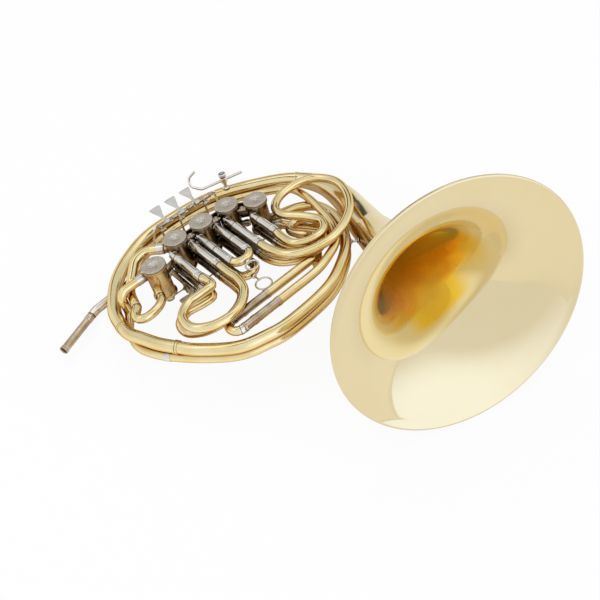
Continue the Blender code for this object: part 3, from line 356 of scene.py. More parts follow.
def metal(name, light, dark, roughness, spread, scale, coat=0.0, grain=0.00004, marks=0.5, corner_shade=0.75,
          shade_colour=None, edge=None, throat=None):
    """Metal whose colour and gloss drift, with painted shade darkening its corners and fine wear marks.

    A throat is (origin, direction, tilt, start, end, colour): past a set depth, from start to end along the tilted
    direction, the colour turns to the given amber, painted light that stands in for light bounced many times down the
    throat; there the coat and specular layer fade out and the metal grows a little rougher, while its metallic falls
    further in.
    """
    material, shader, coords, add, links = node_material(name)
    place = coords.outputs["Object"]
    drift = add("ShaderNodeTexNoise", {"Vector": place, "Scale": scale, "Detail": 5.0, "Roughness": 0.6})
    colour = ramp_node(add, drift.outputs["Fac"], [(0.30, dark), (0.62, light)])
    # Painted shade: the colour darkens towards a shade colour where ambient occlusion finds close neighbours.
    near = add("ShaderNodeAmbientOcclusion", {"Distance": 0.030}, samples=6)
    corner = add("ShaderNodeMapRange", {"Value": near.outputs["AO"], "From Min": 0.18, "From Max": 0.80,
                                        "To Min": corner_shade, "To Max": 0.0})
    shade_colour = shade_colour or tuple(channel * share for channel, share in zip(dark, (0.26, 0.17, 0.09)))
    aged_and_shaded = add("ShaderNodeMix", {"Factor": corner.outputs["Result"], 6: colour, 7: (*shade_colour, 1.0)}, data_type="RGBA")
    colour = aged_and_shaded.outputs[2]
    stretch = add("ShaderNodeMapping", {"Vector": place, "Scale": (1.0, 2.2, 1.3), "Rotation": (0.3, 0.5, 0.9)})
    smear = add("ShaderNodeTexNoise", {"Vector": stretch.outputs["Vector"], "Scale": scale * 3.1, "Detail": 8.0,
                                       "Roughness": 0.65})
    gloss = add("ShaderNodeMapRange", {"Value": smear.outputs["Fac"], "From Min": 0.3, "From Max": 0.75,
                                       "To Min": roughness, "To Max": roughness + spread})
    rough = gloss.outputs["Result"]
    if throat:
        origin, direction, tilt, start, end, amber = throat
        offset = add("ShaderNodeVectorMath", {0: place, 1: origin}, operation="SUBTRACT")
        depth = add("ShaderNodeVectorMath", {0: offset.outputs[0], 1: direction}, operation="DOT_PRODUCT")
        inward = add("ShaderNodeVectorMath", {0: offset.outputs[0], 1: direction + tilt}, operation="DOT_PRODUCT")
        begun = add("ShaderNodeMapRange", {"Value": depth.outputs["Value"], "From Min": 0.045, "From Max": 0.072},
                    interpolation_type="SMOOTHSTEP")
        share = add("ShaderNodeMapRange", {"Value": inward.outputs["Value"], "From Min": start, "From Max": end,
                                           "To Max": begun.outputs["Result"]}, interpolation_type="SMOOTHSTEP")
        share = share.outputs["Result"]
        # Painted light: the amber stands in for light bounced many times down the throat.
        painted_bounce = add("ShaderNodeMix", {"Factor": share, 6: colour, 7: (*amber, 1.0)}, data_type="RGBA")
        colour = painted_bounce.outputs[2]
        for socket, outside, inside in (("Coat Weight", coat, 0.0), ("Specular IOR Level", 0.5, 0.0)):
            level = add("ShaderNodeMapRange", {"Value": share, "To Min": outside, "To Max": inside})
            links.new(level.outputs["Result"], shader.inputs[socket])
        level = add("ShaderNodeMapRange", {"Value": inward.outputs["Value"], "From Min": 0.0,
                                           "From Max": end + 0.045})
        level = ramp_node(add, level.outputs["Result"], [(0.0, (1.0,) * 3), (0.3, (0.88,) * 3), (0.6, (0.84,) * 3),
                                                         (1.0, (0.40,) * 3)])
        links.new(level, shader.inputs["Metallic"])
        duller = add("ShaderNodeMath", {0: share, 1: 0.025, 2: rough}, operation="MULTIPLY_ADD")
        rough = duller.outputs[0]
    links.new(colour, shader.inputs["Base Color"])
    links.new(rough, shader.inputs["Roughness"])
    scratch = add("ShaderNodeMapping", {"Vector": place, "Scale": (1.0, 14.0, 5.0), "Rotation": (0.6, 0.2, 1.1)})
    fine = add("ShaderNodeTexNoise", {"Vector": scratch.outputs["Vector"], "Scale": scale * 26.0, "Detail": 3.0})
    bump = add("ShaderNodeBump", {"Height": fine.outputs["Fac"], "Strength": marks, "Distance": grain})
    links.new(bump.outputs["Normal"], shader.inputs["Normal"])
    if not throat:
        shader.inputs["Metallic"].default_value = 1.0
        shader.inputs["Coat Weight"].default_value = coat
    if edge:
        shader.inputs["Specular Tint"].default_value = (*edge, 1.0)
    shader.inputs["Coat Roughness"].default_value = 0.04
    return material


def engraved_metal(name, light, dark, roughness):
    """Cap metal with a fine chased ground, like leaf scrolls gone small."""
    material, shader, coords, add, links = node_material(name)
    place = coords.outputs["Object"]
    wander = add("ShaderNodeTexNoise", {"Vector": place, "Scale": 210.0, "Detail": 2.0})
    warped = add("ShaderNodeMix", {"Factor": 0.012, "A": place, "B": wander.outputs["Color"]}, data_type="VECTOR")
    scroll = add("ShaderNodeTexVoronoi", {"Vector": warped.outputs[1], "Scale": 900.0},
                 feature="DISTANCE_TO_EDGE")
    line = add("ShaderNodeMapRange", {"Value": scroll.outputs["Distance"], "From Min": 0.02, "From Max": 0.16,
                                      "To Min": 0.0, "To Max": 1.0})
    colour = ramp_node(add, line.outputs["Result"], [(0.0, dark), (0.75, light)])
    links.new(colour, shader.inputs["Base Color"])
    gloss = add("ShaderNodeMapRange", {"Value": wander.outputs["Fac"], "To Min": roughness,
                                       "To Max": roughness + 0.16})
    links.new(gloss.outputs["Result"], shader.inputs["Roughness"])
    bump = add("ShaderNodeBump", {"Height": line.outputs["Result"], "Strength": 0.45, "Distance": 0.00010})
    links.new(bump.outputs["Normal"], shader.inputs["Normal"])
    shader.inputs["Metallic"].default_value = 1.0
    return material


def soft_dark(name, light, dark):
    """Solder and old polish left in a joint."""
    material, shader, coords, add, links = node_material(name)
    speck = add("ShaderNodeTexNoise", {"Vector": coords.outputs["Object"], "Scale": 900.0, "Detail": 4.0})
    colour = ramp_node(add, speck.outputs["Fac"], [(0.35, dark), (0.65, light)])
    links.new(colour, shader.inputs["Base Color"])
    bump = add("ShaderNodeBump", {"Height": speck.outputs["Fac"], "Strength": 0.6, "Distance": 0.0002})
    links.new(bump.outputs["Normal"], shader.inputs["Normal"])
    shader.inputs["Roughness"].default_value = 0.75
    return material


BELL_LIGHT = (0.865, 0.745, 0.465)
BELL_DARK = (0.85, 0.72, 0.425)
# Each metal darkens towards a painted shade colour in its corners, by the strength given.
FINISH = {
    "brass": metal("lacquered_brass_tube", (0.98, 0.85, 0.50), (0.93, 0.74, 0.34), 0.03, 0.05, 34.0, coat=0.40,
                   corner_shade=1.0, shade_colour=(0.44, 0.21, 0.02), edge=(0.84, 0.50, 0.15)),
    "bell": metal("lacquered_brass_bell", BELL_LIGHT, BELL_DARK, 0.02, 0.035, 9.0, coat=0.6, grain=0.00001,
                  marks=0.25, corner_shade=0.0),
    "bell_outside": metal("lacquered_brass_outside", BELL_LIGHT, BELL_DARK, 0.12, 0.06, 9.0, coat=0.4, grain=0.00001,
                          marks=0.25, corner_shade=0.5, shade_colour=(0.50, 0.30, 0.06)),
    "silver": metal("nickel_silver_polished", (0.94, 0.915, 0.865), (0.84, 0.80, 0.73), 0.05, 0.10, 46.0,
                    corner_shade=0.85, shade_colour=(0.10, 0.07, 0.04)),
    "worn": metal("nickel_silver_worn", (0.74, 0.63, 0.49), (0.46, 0.35, 0.23), 0.06, 0.12, 60.0, corner_shade=0.9),
    # Darker copy of the polished nickel silver for the lower layer of sleeves: painted shade.
    "shaded": metal("nickel_silver_painted_shade", (0.30, 0.255, 0.20), (0.10, 0.078, 0.055), 0.10, 0.14, 60.0,
                    corner_shade=0.95),
    "aged_and_shaded": metal("nickel_silver_aged", (0.78, 0.67, 0.51), (0.34, 0.24, 0.14), 0.12, 0.18, 130.0, marks=0.9,
                  corner_shade=0.9),
    "drum": metal("casing_brass", (0.84, 0.64, 0.33), (0.66, 0.46, 0.20), 0.10, 0.14, 70.0, marks=0.8,
                  corner_shade=0.9),
    # Darker copy of the casing brass for the shaded casings and the lower necks: painted shade.
    "painted_shade_brass": metal("casing_brass_painted_shade", (0.62, 0.47, 0.29), (0.32, 0.22, 0.12), 0.14, 0.20, 110.0, marks=0.9,
                    corner_shade=1.0, shade_colour=(0.040, 0.026, 0.015)),
    "satin": metal("nickel_silver_satin", (0.76, 0.75, 0.72), (0.65, 0.63, 0.60), 0.34, 0.16, 70.0, marks=0.8),
    "steel": metal("steel_rods", (0.50, 0.49, 0.47), (0.28, 0.26, 0.23), 0.16, 0.18, 90.0),
    "chased": engraved_metal("chased_cap_metal", (0.86, 0.795, 0.69), (0.40, 0.31, 0.21), 0.28),
    "seam": soft_dark("solder_seam", (0.10, 0.075, 0.05), (0.03, 0.022, 0.016)),
}


def place_matrix():
    """Matrix from the horn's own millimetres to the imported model's metres."""
    low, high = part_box("finger_axle")
    middle = row_point(3.0, 48.5, -10.0)
    scaled = TILT @ Matrix.Scale(MM, 4)
    return Matrix.Translation((low + high) / 2 - scaled @ middle) @ scaled


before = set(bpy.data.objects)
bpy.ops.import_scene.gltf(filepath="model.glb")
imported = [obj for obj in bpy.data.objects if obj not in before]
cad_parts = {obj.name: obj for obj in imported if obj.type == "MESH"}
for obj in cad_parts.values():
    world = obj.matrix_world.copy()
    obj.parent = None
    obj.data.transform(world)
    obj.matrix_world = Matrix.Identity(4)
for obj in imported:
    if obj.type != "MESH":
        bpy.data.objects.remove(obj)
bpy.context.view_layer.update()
PLACE = place_matrix()


def piece(name, shapes, finish, body="horn", nodes=(), sharp=35.0):
    """Make one named piece of the given shapes, on its body, in place of its nodes."""
    points = []
    faces = []
    for shape_points, shape_faces in shapes:
        start = len(points)
        points.extend(tuple(PLACE @ point) for point in shape_points)
        faces.extend(tuple(i + start for i in face) for face in shape_faces)
    mesh = bpy.data.meshes.new(name)
    mesh.from_pydata(points, [], faces)
    mesh.validate()
    mesh.shade_smooth()
    mesh.set_sharp_from_angle(angle=math.radians(sharp))
    mesh.materials.append(FINISH[finish])
    obj = bpy.data.objects.new(name, mesh)
    bpy.context.scene.collection.objects.link(obj)
    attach(obj, body)
    if nodes:
        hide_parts(*nodes)
    return obj


# Bell and ring


def flare(depth):
    """Outer radius of the bell so far behind its rim."""
    return 15.5 + 110.0 * math.exp(-depth / 88.0) + 30.0 * math.exp(-depth / 14.0)


def flare_slope(depth):
    """How fast the flare closes behind the rim."""
    return 110.0 / 88.0 * math.exp(-depth / 88.0) + 30.0 / 14.0 * math.exp(-depth / 14.0)


def make_bell():
    """Bell with a wired rim, its inside running on down the throat into the tail."""
    count = 70
    depths = [3.4 + (THROAT_DEPTH - 3.4) * (k / count) ** 1.6 for k in range(count + 1)]
    tail = smooth(RING["tail"], 6.0, before=RIM_CENTRE - MOUTHWARD * (THROAT_DEPTH - 20.0), after=RING["branch"][1])
    start_radius = flare(THROAT_DEPTH + 26.0)
    outer = [(RIM_CENTRE - MOUTHWARD * depth, flare(depth)) for depth in depths]
    lengths = travel(tail)
    outer += [(point, start_radius + (10.6 - start_radius) * run / lengths[-1])
              for point, run in zip(tail, lengths)]
    inner = []
    for i, depth in enumerate(depths):
        wall = 1.1 * math.hypot(1.0, min(flare_slope(depth), 2.0))
        inner.append((RIM_CENTRE - MOUTHWARD * depth, flare(depth) - wall))
    bowl = 42.0
    floor = smooth(RING["tail"], 1.5, before=RIM_CENTRE - MOUTHWARD * (THROAT_DEPTH - 20.0))
    for point, run in zip(floor, travel(floor)):
        if run < bowl:
            ridge = 0.3 * max(math.cos(math.tau * run / 9.0), 0.0) ** 6
            radius = start_radius + (10.6 - start_radius) * run / lengths[-1] - 1.2 - ridge
            inner.append((point, radius * math.sqrt(1.0 - (run / bowl) ** 2)))
    wire = 2.2
    rim = []
    for k in range(15):
        angle = math.radians(-105.0 + 240.0 * k / 14)
        rim.append((RIM_CENTRE - MOUTHWARD * (wire - wire * math.sin(angle)), RIM_RADIUS - wire * 0.9
                    + wire * math.cos(angle)))
    profile = list(reversed(outer)) + rim + inner
    sides = 144
    rings = []
    side = Vector((1.0, 0.0, 0.0))
    last = len(profile) - 1
    straight_low = len(tail)
    straight_high = len(tail) + len(depths) + len(rim) + len(depths)
    for i, (point, radius) in enumerate(profile):
        if straight_low <= i < straight_high:
            tangent = MOUTHWARD
        elif i < straight_low:
            tangent = (profile[i + 1][0] - profile[max(i - 1, 0)][0]).normalized()
        else:
            tangent = -(profile[min(i + 1, last)][0] - profile[i - 1][0]).normalized()
        side = (side - tangent * side.dot(tangent)).normalized()
        across = tangent.cross(side)
        rings.append([point + (side * math.cos(math.tau * k / sides) + across * math.sin(math.tau * k / sides))
                      * radius for k in range(sides)])
    inside = straight_high - len(depths) + sum(depth < 45.0 for depth in depths)
    edge = len(outer) + 7
    piece("bell_brass", [skin(rings[:edge + 1], caps=(True, False))], "bell_outside", nodes=("bell",), sharp=60.0)
    piece("bell_inside_brass", [skin(rings[edge:inside + 1], caps=(False, False))], "bell", sharp=60.0)
    origin = PLACE @ RIM_CENTRE
    inward = (PLACE @ (RIM_CENTRE - MOUTHWARD) - origin).normalized()
    # The throat's amber is painted light, standing in for light bounced many times down it.
    FINISH["throat"] = metal("brass_throat", BELL_LIGHT, BELL_DARK, 0.02, 0.035, 9.0, coat=0.6, grain=0.00001,
                             marks=0.25, corner_shade=0.0, throat=(origin, inward, UP * 0.9, 0.022, 0.078, (0.92, 0.62, 0.045)))
    piece("bell_throat_brass", [skin(rings[inside:], caps=(False, True))], "throat", sharp=60.0)


def make_ring():
    """The three tubes of the ring and their brass bands, with a solder seam at each."""
    routes = [RING[part] for part in ("tail", "branch", "lower", "inner")]
    sizes = (("bell_branch", 10.4, 8.5), ("lower_branch", 8.3, 8.0), ("inner_ring_tube", 7.7, 6.6))
    joints = []
    for i, (name, start_radius, end_radius) in enumerate(sizes, start=1):
        after = routes[i + 1][1] if i < 3 else None
        path = smooth(routes[i], 5.0, routes[i - 1][-2], after)
        piece(name + "_brass", [sweep(path, taper(path, start_radius, end_radius))], "brass", nodes=(name,))
        joints.append((Vector(routes[i][0]), (Vector(routes[i][1]) - Vector(routes[i - 1][-2])).normalized()))
    for name, (joint, heading), radius in zip(("tail_ferrule", "left_ferrule", "bottom_ferrule"), joints,
                                              (10.9, 8.6, 8.3)):
        piece(name + "_brass", band(joint, heading, radius, 6.0), "brass", nodes=(name,))
        piece(name + "_joint", [seam(joint, heading, radius)], "seam")


# Fixed tubes


def port_face(valve, angle, level, reach):
    """Point so far from a valve's axis, at an angle in plan and a height."""
    turn = math.radians(angle)
    return VALVES[valve] + Vector((math.cos(turn), math.sin(turn), 0.0)) * reach + UP * level


def ferrules_on(path, radius, lengths_at, length=8.0):
    """Silver collars on a path, at lengths from its start or, if negative, from its end."""
    total = travel(path)[-1]
    shapes = []
    for at in lengths_at:
        start = at if at >= 0 else total + at
        stretch = cut_path(path, start, start + length)
        radii = [radius + 0.25] + [radius + 0.55] * (len(stretch) - 2) + [radius + 0.25]
        shapes.append(sweep(stretch, radii if len(stretch) > 2 else radius + 0.5, 40))
    return shapes


def fixed_tube(name, path, start_radius, end_radius, collars=(), collar_length=8.0):
    """Bent brass tube with silver collars."""
    piece(name + "_brass", [sweep(path, taper(path, start_radius, end_radius))], "brass", nodes=(name,))
    shapes = ferrules_on(path, max(start_radius, end_radius), collars, collar_length)
    if shapes:
        piece(name + "_collars", shapes, "silver")


def make_fixed_tubes():
    """Tubes between the valves, the leadpipe and the receiver."""
    port = Vector((-96.5, 61.2, UPPER))
    heading = Vector((-0.96, -0.28, 0.0)).normalized()
    route = [port, port + heading * 36.4, (-130.0, 46.0, -48.0), (-141.5, 24.0, -58.5), (-138.6, 5.0, -58.5)]
    fixed_tube("stopping_valve_tube", rounded(route, 11.0), 5.8, 5.9, (0.5,), 9.0)
    z = -58.5
    points = [(-138.4, 4.2, z), (-136.6, -5.0, z), (-130.5, -19.0, z), (-112.0, -41.0, z - 0.5),
              (-74.0, -72.0, z - 0.8), (-34.0, -95.0, z - 0.8), (1.0, -99.0, z - 0.8), (35.0, -96.0, z - 0.8),
              (94.0, -73.0, z - 0.8), (128.0, -44.0, z - 0.6), (151.0, -9.0, z), (155.0, 26.0, z),
              (140.0, 52.0, z), (112.0, 70.0, -50.0)]
    points += [port_face("change", -38.0, -46.0, run) for run in (28.0, PORT_REACH)]
    fixed_tube("stacked_ring_tube", smooth(points), 6.4, 6.0, (53.0, -9.0), 9.0)
    route = [(-54.8, 98.6, UPPER), (-78.0, 111.0, UPPER), (-96.0, 103.0, UPPER - 1), (-113.0, 76.0, -28.0),
             (-118.5, 62.0, -30.0), (-118.6, 56.8, -30.0)]
    fixed_tube("first_valve_elbow", rounded(route, 22.0), 6.8, 6.2, (1.0,), 9.0)
    end = MAIN_LOWER + MAIN_AXIS * MAIN_SLEEVE
    points = [(-176.4, 88.2, -58.5), (-169.0, 94.4, -58.5), (-153.0, 101.0, -58.5), (-124.0, 113.5, -58.5),
              (-106.0, 122.0, -55.5), (-92.0, 131.0, -49.5), (-80.0, 140.5, -45.5), (-47.0, 162.5, -45.0),
              (14.0, 178.5, -45.0), (62.0, 175.5, -45.0), (105.0, 157.0, -42.0), (135.0, 127.0, -33.0),
              (146.0, 90.0, -29.6), (149.0, 50.0, -30.0), (148.0, 12.0, -31.0), (137.0, -18.0, -29.4),
              (117.0, -38.0, -28.8), (92.0, -53.5, -28.8), end + MAIN_AXIS * 12.0, end]
    fixed_tube("leadpipe", smooth(points), 5.0, 5.6, (0.0,), 44.0)
    start = MAIN_UPPER + MAIN_AXIS * MAIN_SLEEVE
    route = [start, (102.0, -28.8, MAIN_Z), (104.5, -25.0, -53.0), (122.0, 16.0, -53.0), (90.0, 38.0, -53.0),
             port_face("change", -76.0, -47.0, 36.0), port_face("change", -76.0, -46.0, PORT_REACH)]
    fixed_tube("change_valve_tube", rounded(route, 12.0), 5.8, 5.6, (-9.0,), 8.0)
    mouth_at = Vector((-224.0, 46.0, -57.5))
    joint = Vector((-177.0, 87.7, -58.5))
    run = joint - mouth_at
    length = run.length
    profile = [(0.02, 40.0), (3.0, 40.0), (4.55, 0.9), (4.9, 0.25), (5.3, 0.0), (5.75, 0.25), (5.9, 0.8), (5.9, 3.0),
               (5.7, 3.5), (5.3, 3.9), (5.25, 5.0), (5.45, 5.4), (5.3, 6.0), (5.2, length - 12.0),
               (5.25, length - 9.0), (5.65, length - 8.4), (5.65, length - 1.2), (5.5, length - 0.6),
               (5.3, length), (0.02, length)]
    piece("receiver_silver", [revolve(profile, mouth_at, run, sides=56)], "worn",
          nodes=("mouthpiece_receiver",))


# Valves


def mouth(valve, side, level):
    """Mouth of one outer slide tube."""
    table = UPPER_MOUTH if level == UPPER else LOWER_MOUTH
    return VALVES[valve] + ALONG * LEG_OFFSETS[valve][side] + OUT * table[valve] + UP * level


def open_tube(path, radius, bore, sides=FINE):
    """Tube along a path that is open at its far end, with a rolled lip there."""
    outer_path = list(path)
    heading = (path[-1] - path[-2]).normalized()
    depth = min(30.0, (path[-1] - path[-2]).length * 0.8)
    stations = [(point, radius) for point in outer_path[:-1]]
    end = outer_path[-1]
    stations += [(end - heading * 3.4, radius), (end - heading * 3.0, radius + 0.35), (end - heading * 0.7, radius + 0.35),
                 (end - heading * 0.15, radius), (end, radius - 0.3), (end - heading * 0.05, bore)]
    shape = sweep([p for p, r in stations], [r for p, r in stations], sides, caps=(True, False))
    inside = revolve([(bore, 0.0), (bore, depth), (0.02, depth)], end - heading * 0.05, -heading, sides=sides)
    return shape, inside


SEAMS = {"first": (20.0, 20.0), "second": (32.0, 50.0), "third": (30.0,), "change": (24.0,)}


def make_sleeves(valve, level, mouths):
    """Nickel silver outer tubes of one valve's slides on one level, and the seams round them."""
    centre = VALVES[valve]
    shapes = []
    lines = []
    necks = []
    for offset, seam_at in zip(LEG_OFFSETS[valve], SEAMS[valve]):
        top = centre + ALONG * offset + OUT * 8.6 + UP * level
        necks.append(sweep(smooth([centre + ALONG * (offset * 0.45) + OUT * 1.0 + UP * level,
                                   centre + ALONG * (offset * 0.86) + OUT * 5.0 + UP * level,
                                   top + OUT * 1.5], 1.5), 5.0, 32))
        shapes.extend(open_tube([top, centre + ALONG * offset + OUT * mouths[valve] + UP * level],
                                TUBE_RADIUS - 0.35, 5.35))
        shapes.append(revolve([(0.02, -0.6), (4.4, -0.6), (5.9, 0.4), (6.0, 0.8), (6.0, 3.6), (5.4, 4.2)], top, OUT))
        foot = centre + ALONG * offset + OUT * seam_at + UP * level
        shapes.append(collar(TUBE_RADIUS - 0.4, 0.35, foot + OUT * 0.4, 17.0 if seam_at == 32.0 else 6.0, OUT))
        lines.append(seam(foot, OUT, TUBE_RADIUS - 0.1))
        if seam_at == 32.0:
            lines.append(seam(foot + OUT * 17.4, OUT, TUBE_RADIUS - 0.1))
    layer = "upper" if level == UPPER else "lower"
    # The lower layer's tubes and necks take darker copies of their metals: painted shade under the upper layer.
    piece("%s_%s_tubes_silver" % (valve, layer), shapes, "silver" if level == UPPER else "shaded")
    piece("%s_%s_tube_seams" % (valve, layer), lines, "seam")
    piece("%s_%s_necks" % (valve, layer), necks, "aged_and_shaded" if level == UPPER else "painted_shade_brass")


def casing_shapes(valve):
    """Body of one casing, with its two flanges and a bearing under its floor."""
    floor = CASING_BOTTOM
    profile = [(3.2, floor + 3.4), (3.2, floor - 0.0), (5.0, floor), (5.2, floor), (FLANGE_RADIUS - 1.2, floor),
               (FLANGE_RADIUS, floor + 0.6), (FLANGE_RADIUS, floor + 2.2), (FLANGE_RADIUS - 0.2, floor + 2.5),
               (CASING_RADIUS - 1.2, floor + 3.3), (CASING_RADIUS - 1.2, CASING_TOP - 3.3),
               (FLANGE_RADIUS - 0.2, CASING_TOP - 2.5), (FLANGE_RADIUS, CASING_TOP - 2.2),
               (FLANGE_RADIUS, CASING_TOP - 0.3), (FLANGE_RADIUS - 0.3, CASING_TOP), (13.2, CASING_TOP),
               (13.2, floor + 3.4)]
    return [revolve(profile, VALVES[valve], UP, ring=True, sides=64)]


def stub_shapes(start, end, radius):
    """Port tube with a silver-soldered collar at its outer end."""
    heading = (Vector(end) - Vector(start)).normalized()
    return [sweep([Vector(start), Vector(end)], radius - 0.5),
            collar(radius - 0.6, 0.6, Vector(end) - heading * 4.0, 4.0, heading)]


def knuckle_shapes(valve, neighbour, level=KNUCKLE_Z):
    """Short tube to the next casing, with a ring in its middle."""
    start = VALVES[valve] + UP * level
    run = VALVES[neighbour] - VALVES[valve]
    heading = run.normalized()
    reach = run.length - CASING_RADIUS
    middle = start + heading * (run.length / 2 - 2.0)
    return [sweep([start + heading * 11.0, start + heading * reach], 4.5),
            collar(4.4, 0.7, middle, 4.0, heading)]


def knuckle_pair(valve, neighbour):
    """A knuckle on each of the two layers, and a flat web soldered behind them."""
    start, end = VALVES[valve], VALVES[neighbour]
    heading = (end - start).normalized()
    back = UP.cross(heading)
    outline = [start + heading * 13.0 + back * 6.0, end - heading * 13.0 + back * 6.0,
               end - heading * 13.0 + back * 7.6, start + heading * 13.0 + back * 7.6]
    return (knuckle_shapes(valve, neighbour, UPPER + 2.0) + knuckle_shapes(valve, neighbour, LOWER + 1.0)
            + [plate(outline, -33.0, -8.5)])


def port_stub(valve, end, radius=6.4):
    """Port that points from the valve's axis to an end point."""
    centre = VALVES[valve] + UP * Vector(end).z
    heading = (Vector(end) - centre).normalized()
    return stub_shapes(centre + heading * 11.0, end, radius)


def make_casings():
    """All five casings, with their ports, knuckles and outer slide tubes."""
    far = Vector((-118.6, 31.0, -30.0))
    near = Vector((-86.6, 31.0, -30.0))
    port = Vector((-96.5, 61.2, UPPER))
    heading = Vector((-0.96, -0.28, 0.0)).normalized()
    extras = {
        "stopping": stub_shapes(port - heading * 17.0, port, 6.4) + knuckle_shapes("stopping", "first"),
        "first": port_stub("first", Vector((-54.2, 98.3, UPPER))) + knuckle_pair("first", "second"),
        "second": knuckle_pair("second", "third"),
        "third": knuckle_pair("third", "change"),
        "change": port_stub("change", port_face("change", 0.0, -42.5, PORT_REACH), 6.9)
        + port_stub("change", port_face("change", -38.0, -46.0, PORT_REACH), 6.3)
        + port_stub("change", port_face("change", -76.0, -46.0, PORT_REACH), 6.0),
    }
    for valve in VALVES:
        # All casings but the stopping valve's take the darker casing brass, painted shade.
        piece(valve + "_casing_brass", casing_shapes(valve), "drum" if valve == "stopping" else "painted_shade_brass",
              nodes=(valve + "_valve_casing",))
        piece(valve + "_ports_silver", extras[valve], "aged_and_shaded")
        if valve in LEG_OFFSETS:
            make_sleeves(valve, UPPER, UPPER_MOUTH)
            make_sleeves(valve, LOWER, LOWER_MOUTH)
    top = near + Vector((0.0, 14.0, 0.0))
    piece("stopping_slide_tube_brass", list(open_tube([top, near], TUBE_RADIUS - 0.35, 5.35)), "brass")
    sleeve_top = Vector((-118.6, 56.6, -30.0))
    piece("stopping_slide_sleeve_brass", list(open_tube([sleeve_top, far], TUBE_RADIUS - 0.35, 5.35)), "brass",
          nodes=("stopping_slide_sleeve",))
    for name, start in (("main_upper_sleeve", MAIN_UPPER), ("main_lower_sleeve", MAIN_LOWER)):
        shapes = list(open_tube([start + MAIN_AXIS * MAIN_SLEEVE, start], 5.65, 5.35))
        for at in (14.0, MAIN_SLEEVE - 5.0):
            shapes.append(collar(5.6, 0.5, start + MAIN_AXIS * at, 5.0, MAIN_AXIS))
        piece(name + "_silver", shapes, "worn", nodes=(name,))


TRAINS = {
    "first": (OUT, ALONG, FINGER_CRANK, 0.0),
    "second": (OUT, -ALONG, FINGER_CRANK, 0.0),
    "third": (OUT, -ALONG, FINGER_CRANK, 0.0),
    "change": (-ALONG, OUT, THUMB_CRANK, LINK_Z - LONG_LINK_Z),
    "stopping": (-ALONG, -OUT, THUMB_CRANK, LINK_Z - LONG_LINK_Z),
}


def pin_place(valve):
    """Place of a stop arm's pin at rest, in plan."""
    pull, side, crank, drop = TRAINS[valve]
    return VALVES[valve] + (side - pull) * (crank * math.sqrt(0.5))


def make_rotor(valve):
    """Rotor with its stem, stop arm, arm screw and pin."""
    centre = VALVES[valve]
    low = CASING_BOTTOM + 3.9
    high = CASING_TOP - 4.2
    drum = [(2.8, -55.6), (2.8, low), (12.4, low), (12.7, low + 0.3), (12.7, high - 0.3), (12.4, high), (2.8, high)]
    pin = pin_place(valve)
    heading = (pin - centre).normalized()
    across = UP.cross(heading)
    outline = []
    for middle, radius, start in ((centre, 5.0, 90.0), (pin, 2.8, -90.0)):
        for k in range(17):
            angle = math.radians(start + 180.0 * k / 16)
            outline.append(middle + (heading * math.cos(angle) + across * math.sin(angle)) * radius)
    bottom = -60.6 - TRAINS[valve][3]
    piece(valve + "_rotor_brass", [revolve(drum, centre, UP, sides=48)], "brass", valve + "_rotor",
          nodes=(valve + "_rotor",))
    shapes = [plate(outline, -55.6, -53.6), rod(pin + UP * -54.0, pin + UP * (bottom + 0.02), 1.2),
              revolve([(2.6, 0.0), (2.6, 0.5), (2.2, 0.9), (0.3, 0.9), (0.3, 0.4)], centre + UP * -55.5, -UP)]
    piece(valve + "_stop_arm", shapes, "satin", valve + "_rotor")


def make_cap(valve):
    """Flat chased cap with a milled edge, a raised ring and a bearing boss."""
    centre = VALVES[valve]
    base = CASING_TOP + GAP
    disc = [(12.6, -7.4), (12.6, base), (FLANGE_RADIUS - 1.0, base), (FLANGE_RADIUS - 0.9, base + 1.3),
            (FLANGE_RADIUS - 0.1, base + 1.5), (FLANGE_RADIUS, base + 1.7), (FLANGE_RADIUS, base + 2.7),
            (FLANGE_RADIUS - 0.3, base + 2.95), (FLANGE_RADIUS - 1.0, base + 3.05), (6.2, base + 3.1), (6.0, base + 3.0)]
    boss = [(5.6, base + 2.6), (5.6, base + 3.3), (5.3, base + 3.45), (4.9, base + 3.3), (4.6, base + 3.15),
            (3.3, base + 3.15), (3.2, base + 3.4), (3.2, -0.25), (2.95, -0.02), (2.2, 0.0), (1.9, -0.5), (0.02, -0.55)]
    piece(valve + "_cap_chased", [revolve(disc, centre, UP, sides=72)], "chased", nodes=(valve + "_valve_cap",))
    piece(valve + "_cap_trim", [revolve(boss, centre, UP, sides=48)], "silver")


# Slides


def slide_paths(first_mouth, second_mouth, inward, depths, corners, bend=None):
    """The two inner legs and the crook of one slide."""
    first = Vector(first_mouth)
    second = Vector(second_mouth)
    start = first - inward * 0.7
    end = second - inward * 0.7
    route = [start - inward * 0.8] + [Vector(corner) for corner in corners] + [end - inward * 0.8]
    if bend:
        crook = rounded([start] + route[1:-1] + [end], bend)
    else:
        crook = smooth(route, 3.5, first + inward * 23.0, second + inward * 23.0)
        crook = [start] + crook + [end]
    return [first + inward * depths[0], start], crook, [end, second + inward * depths[1]]


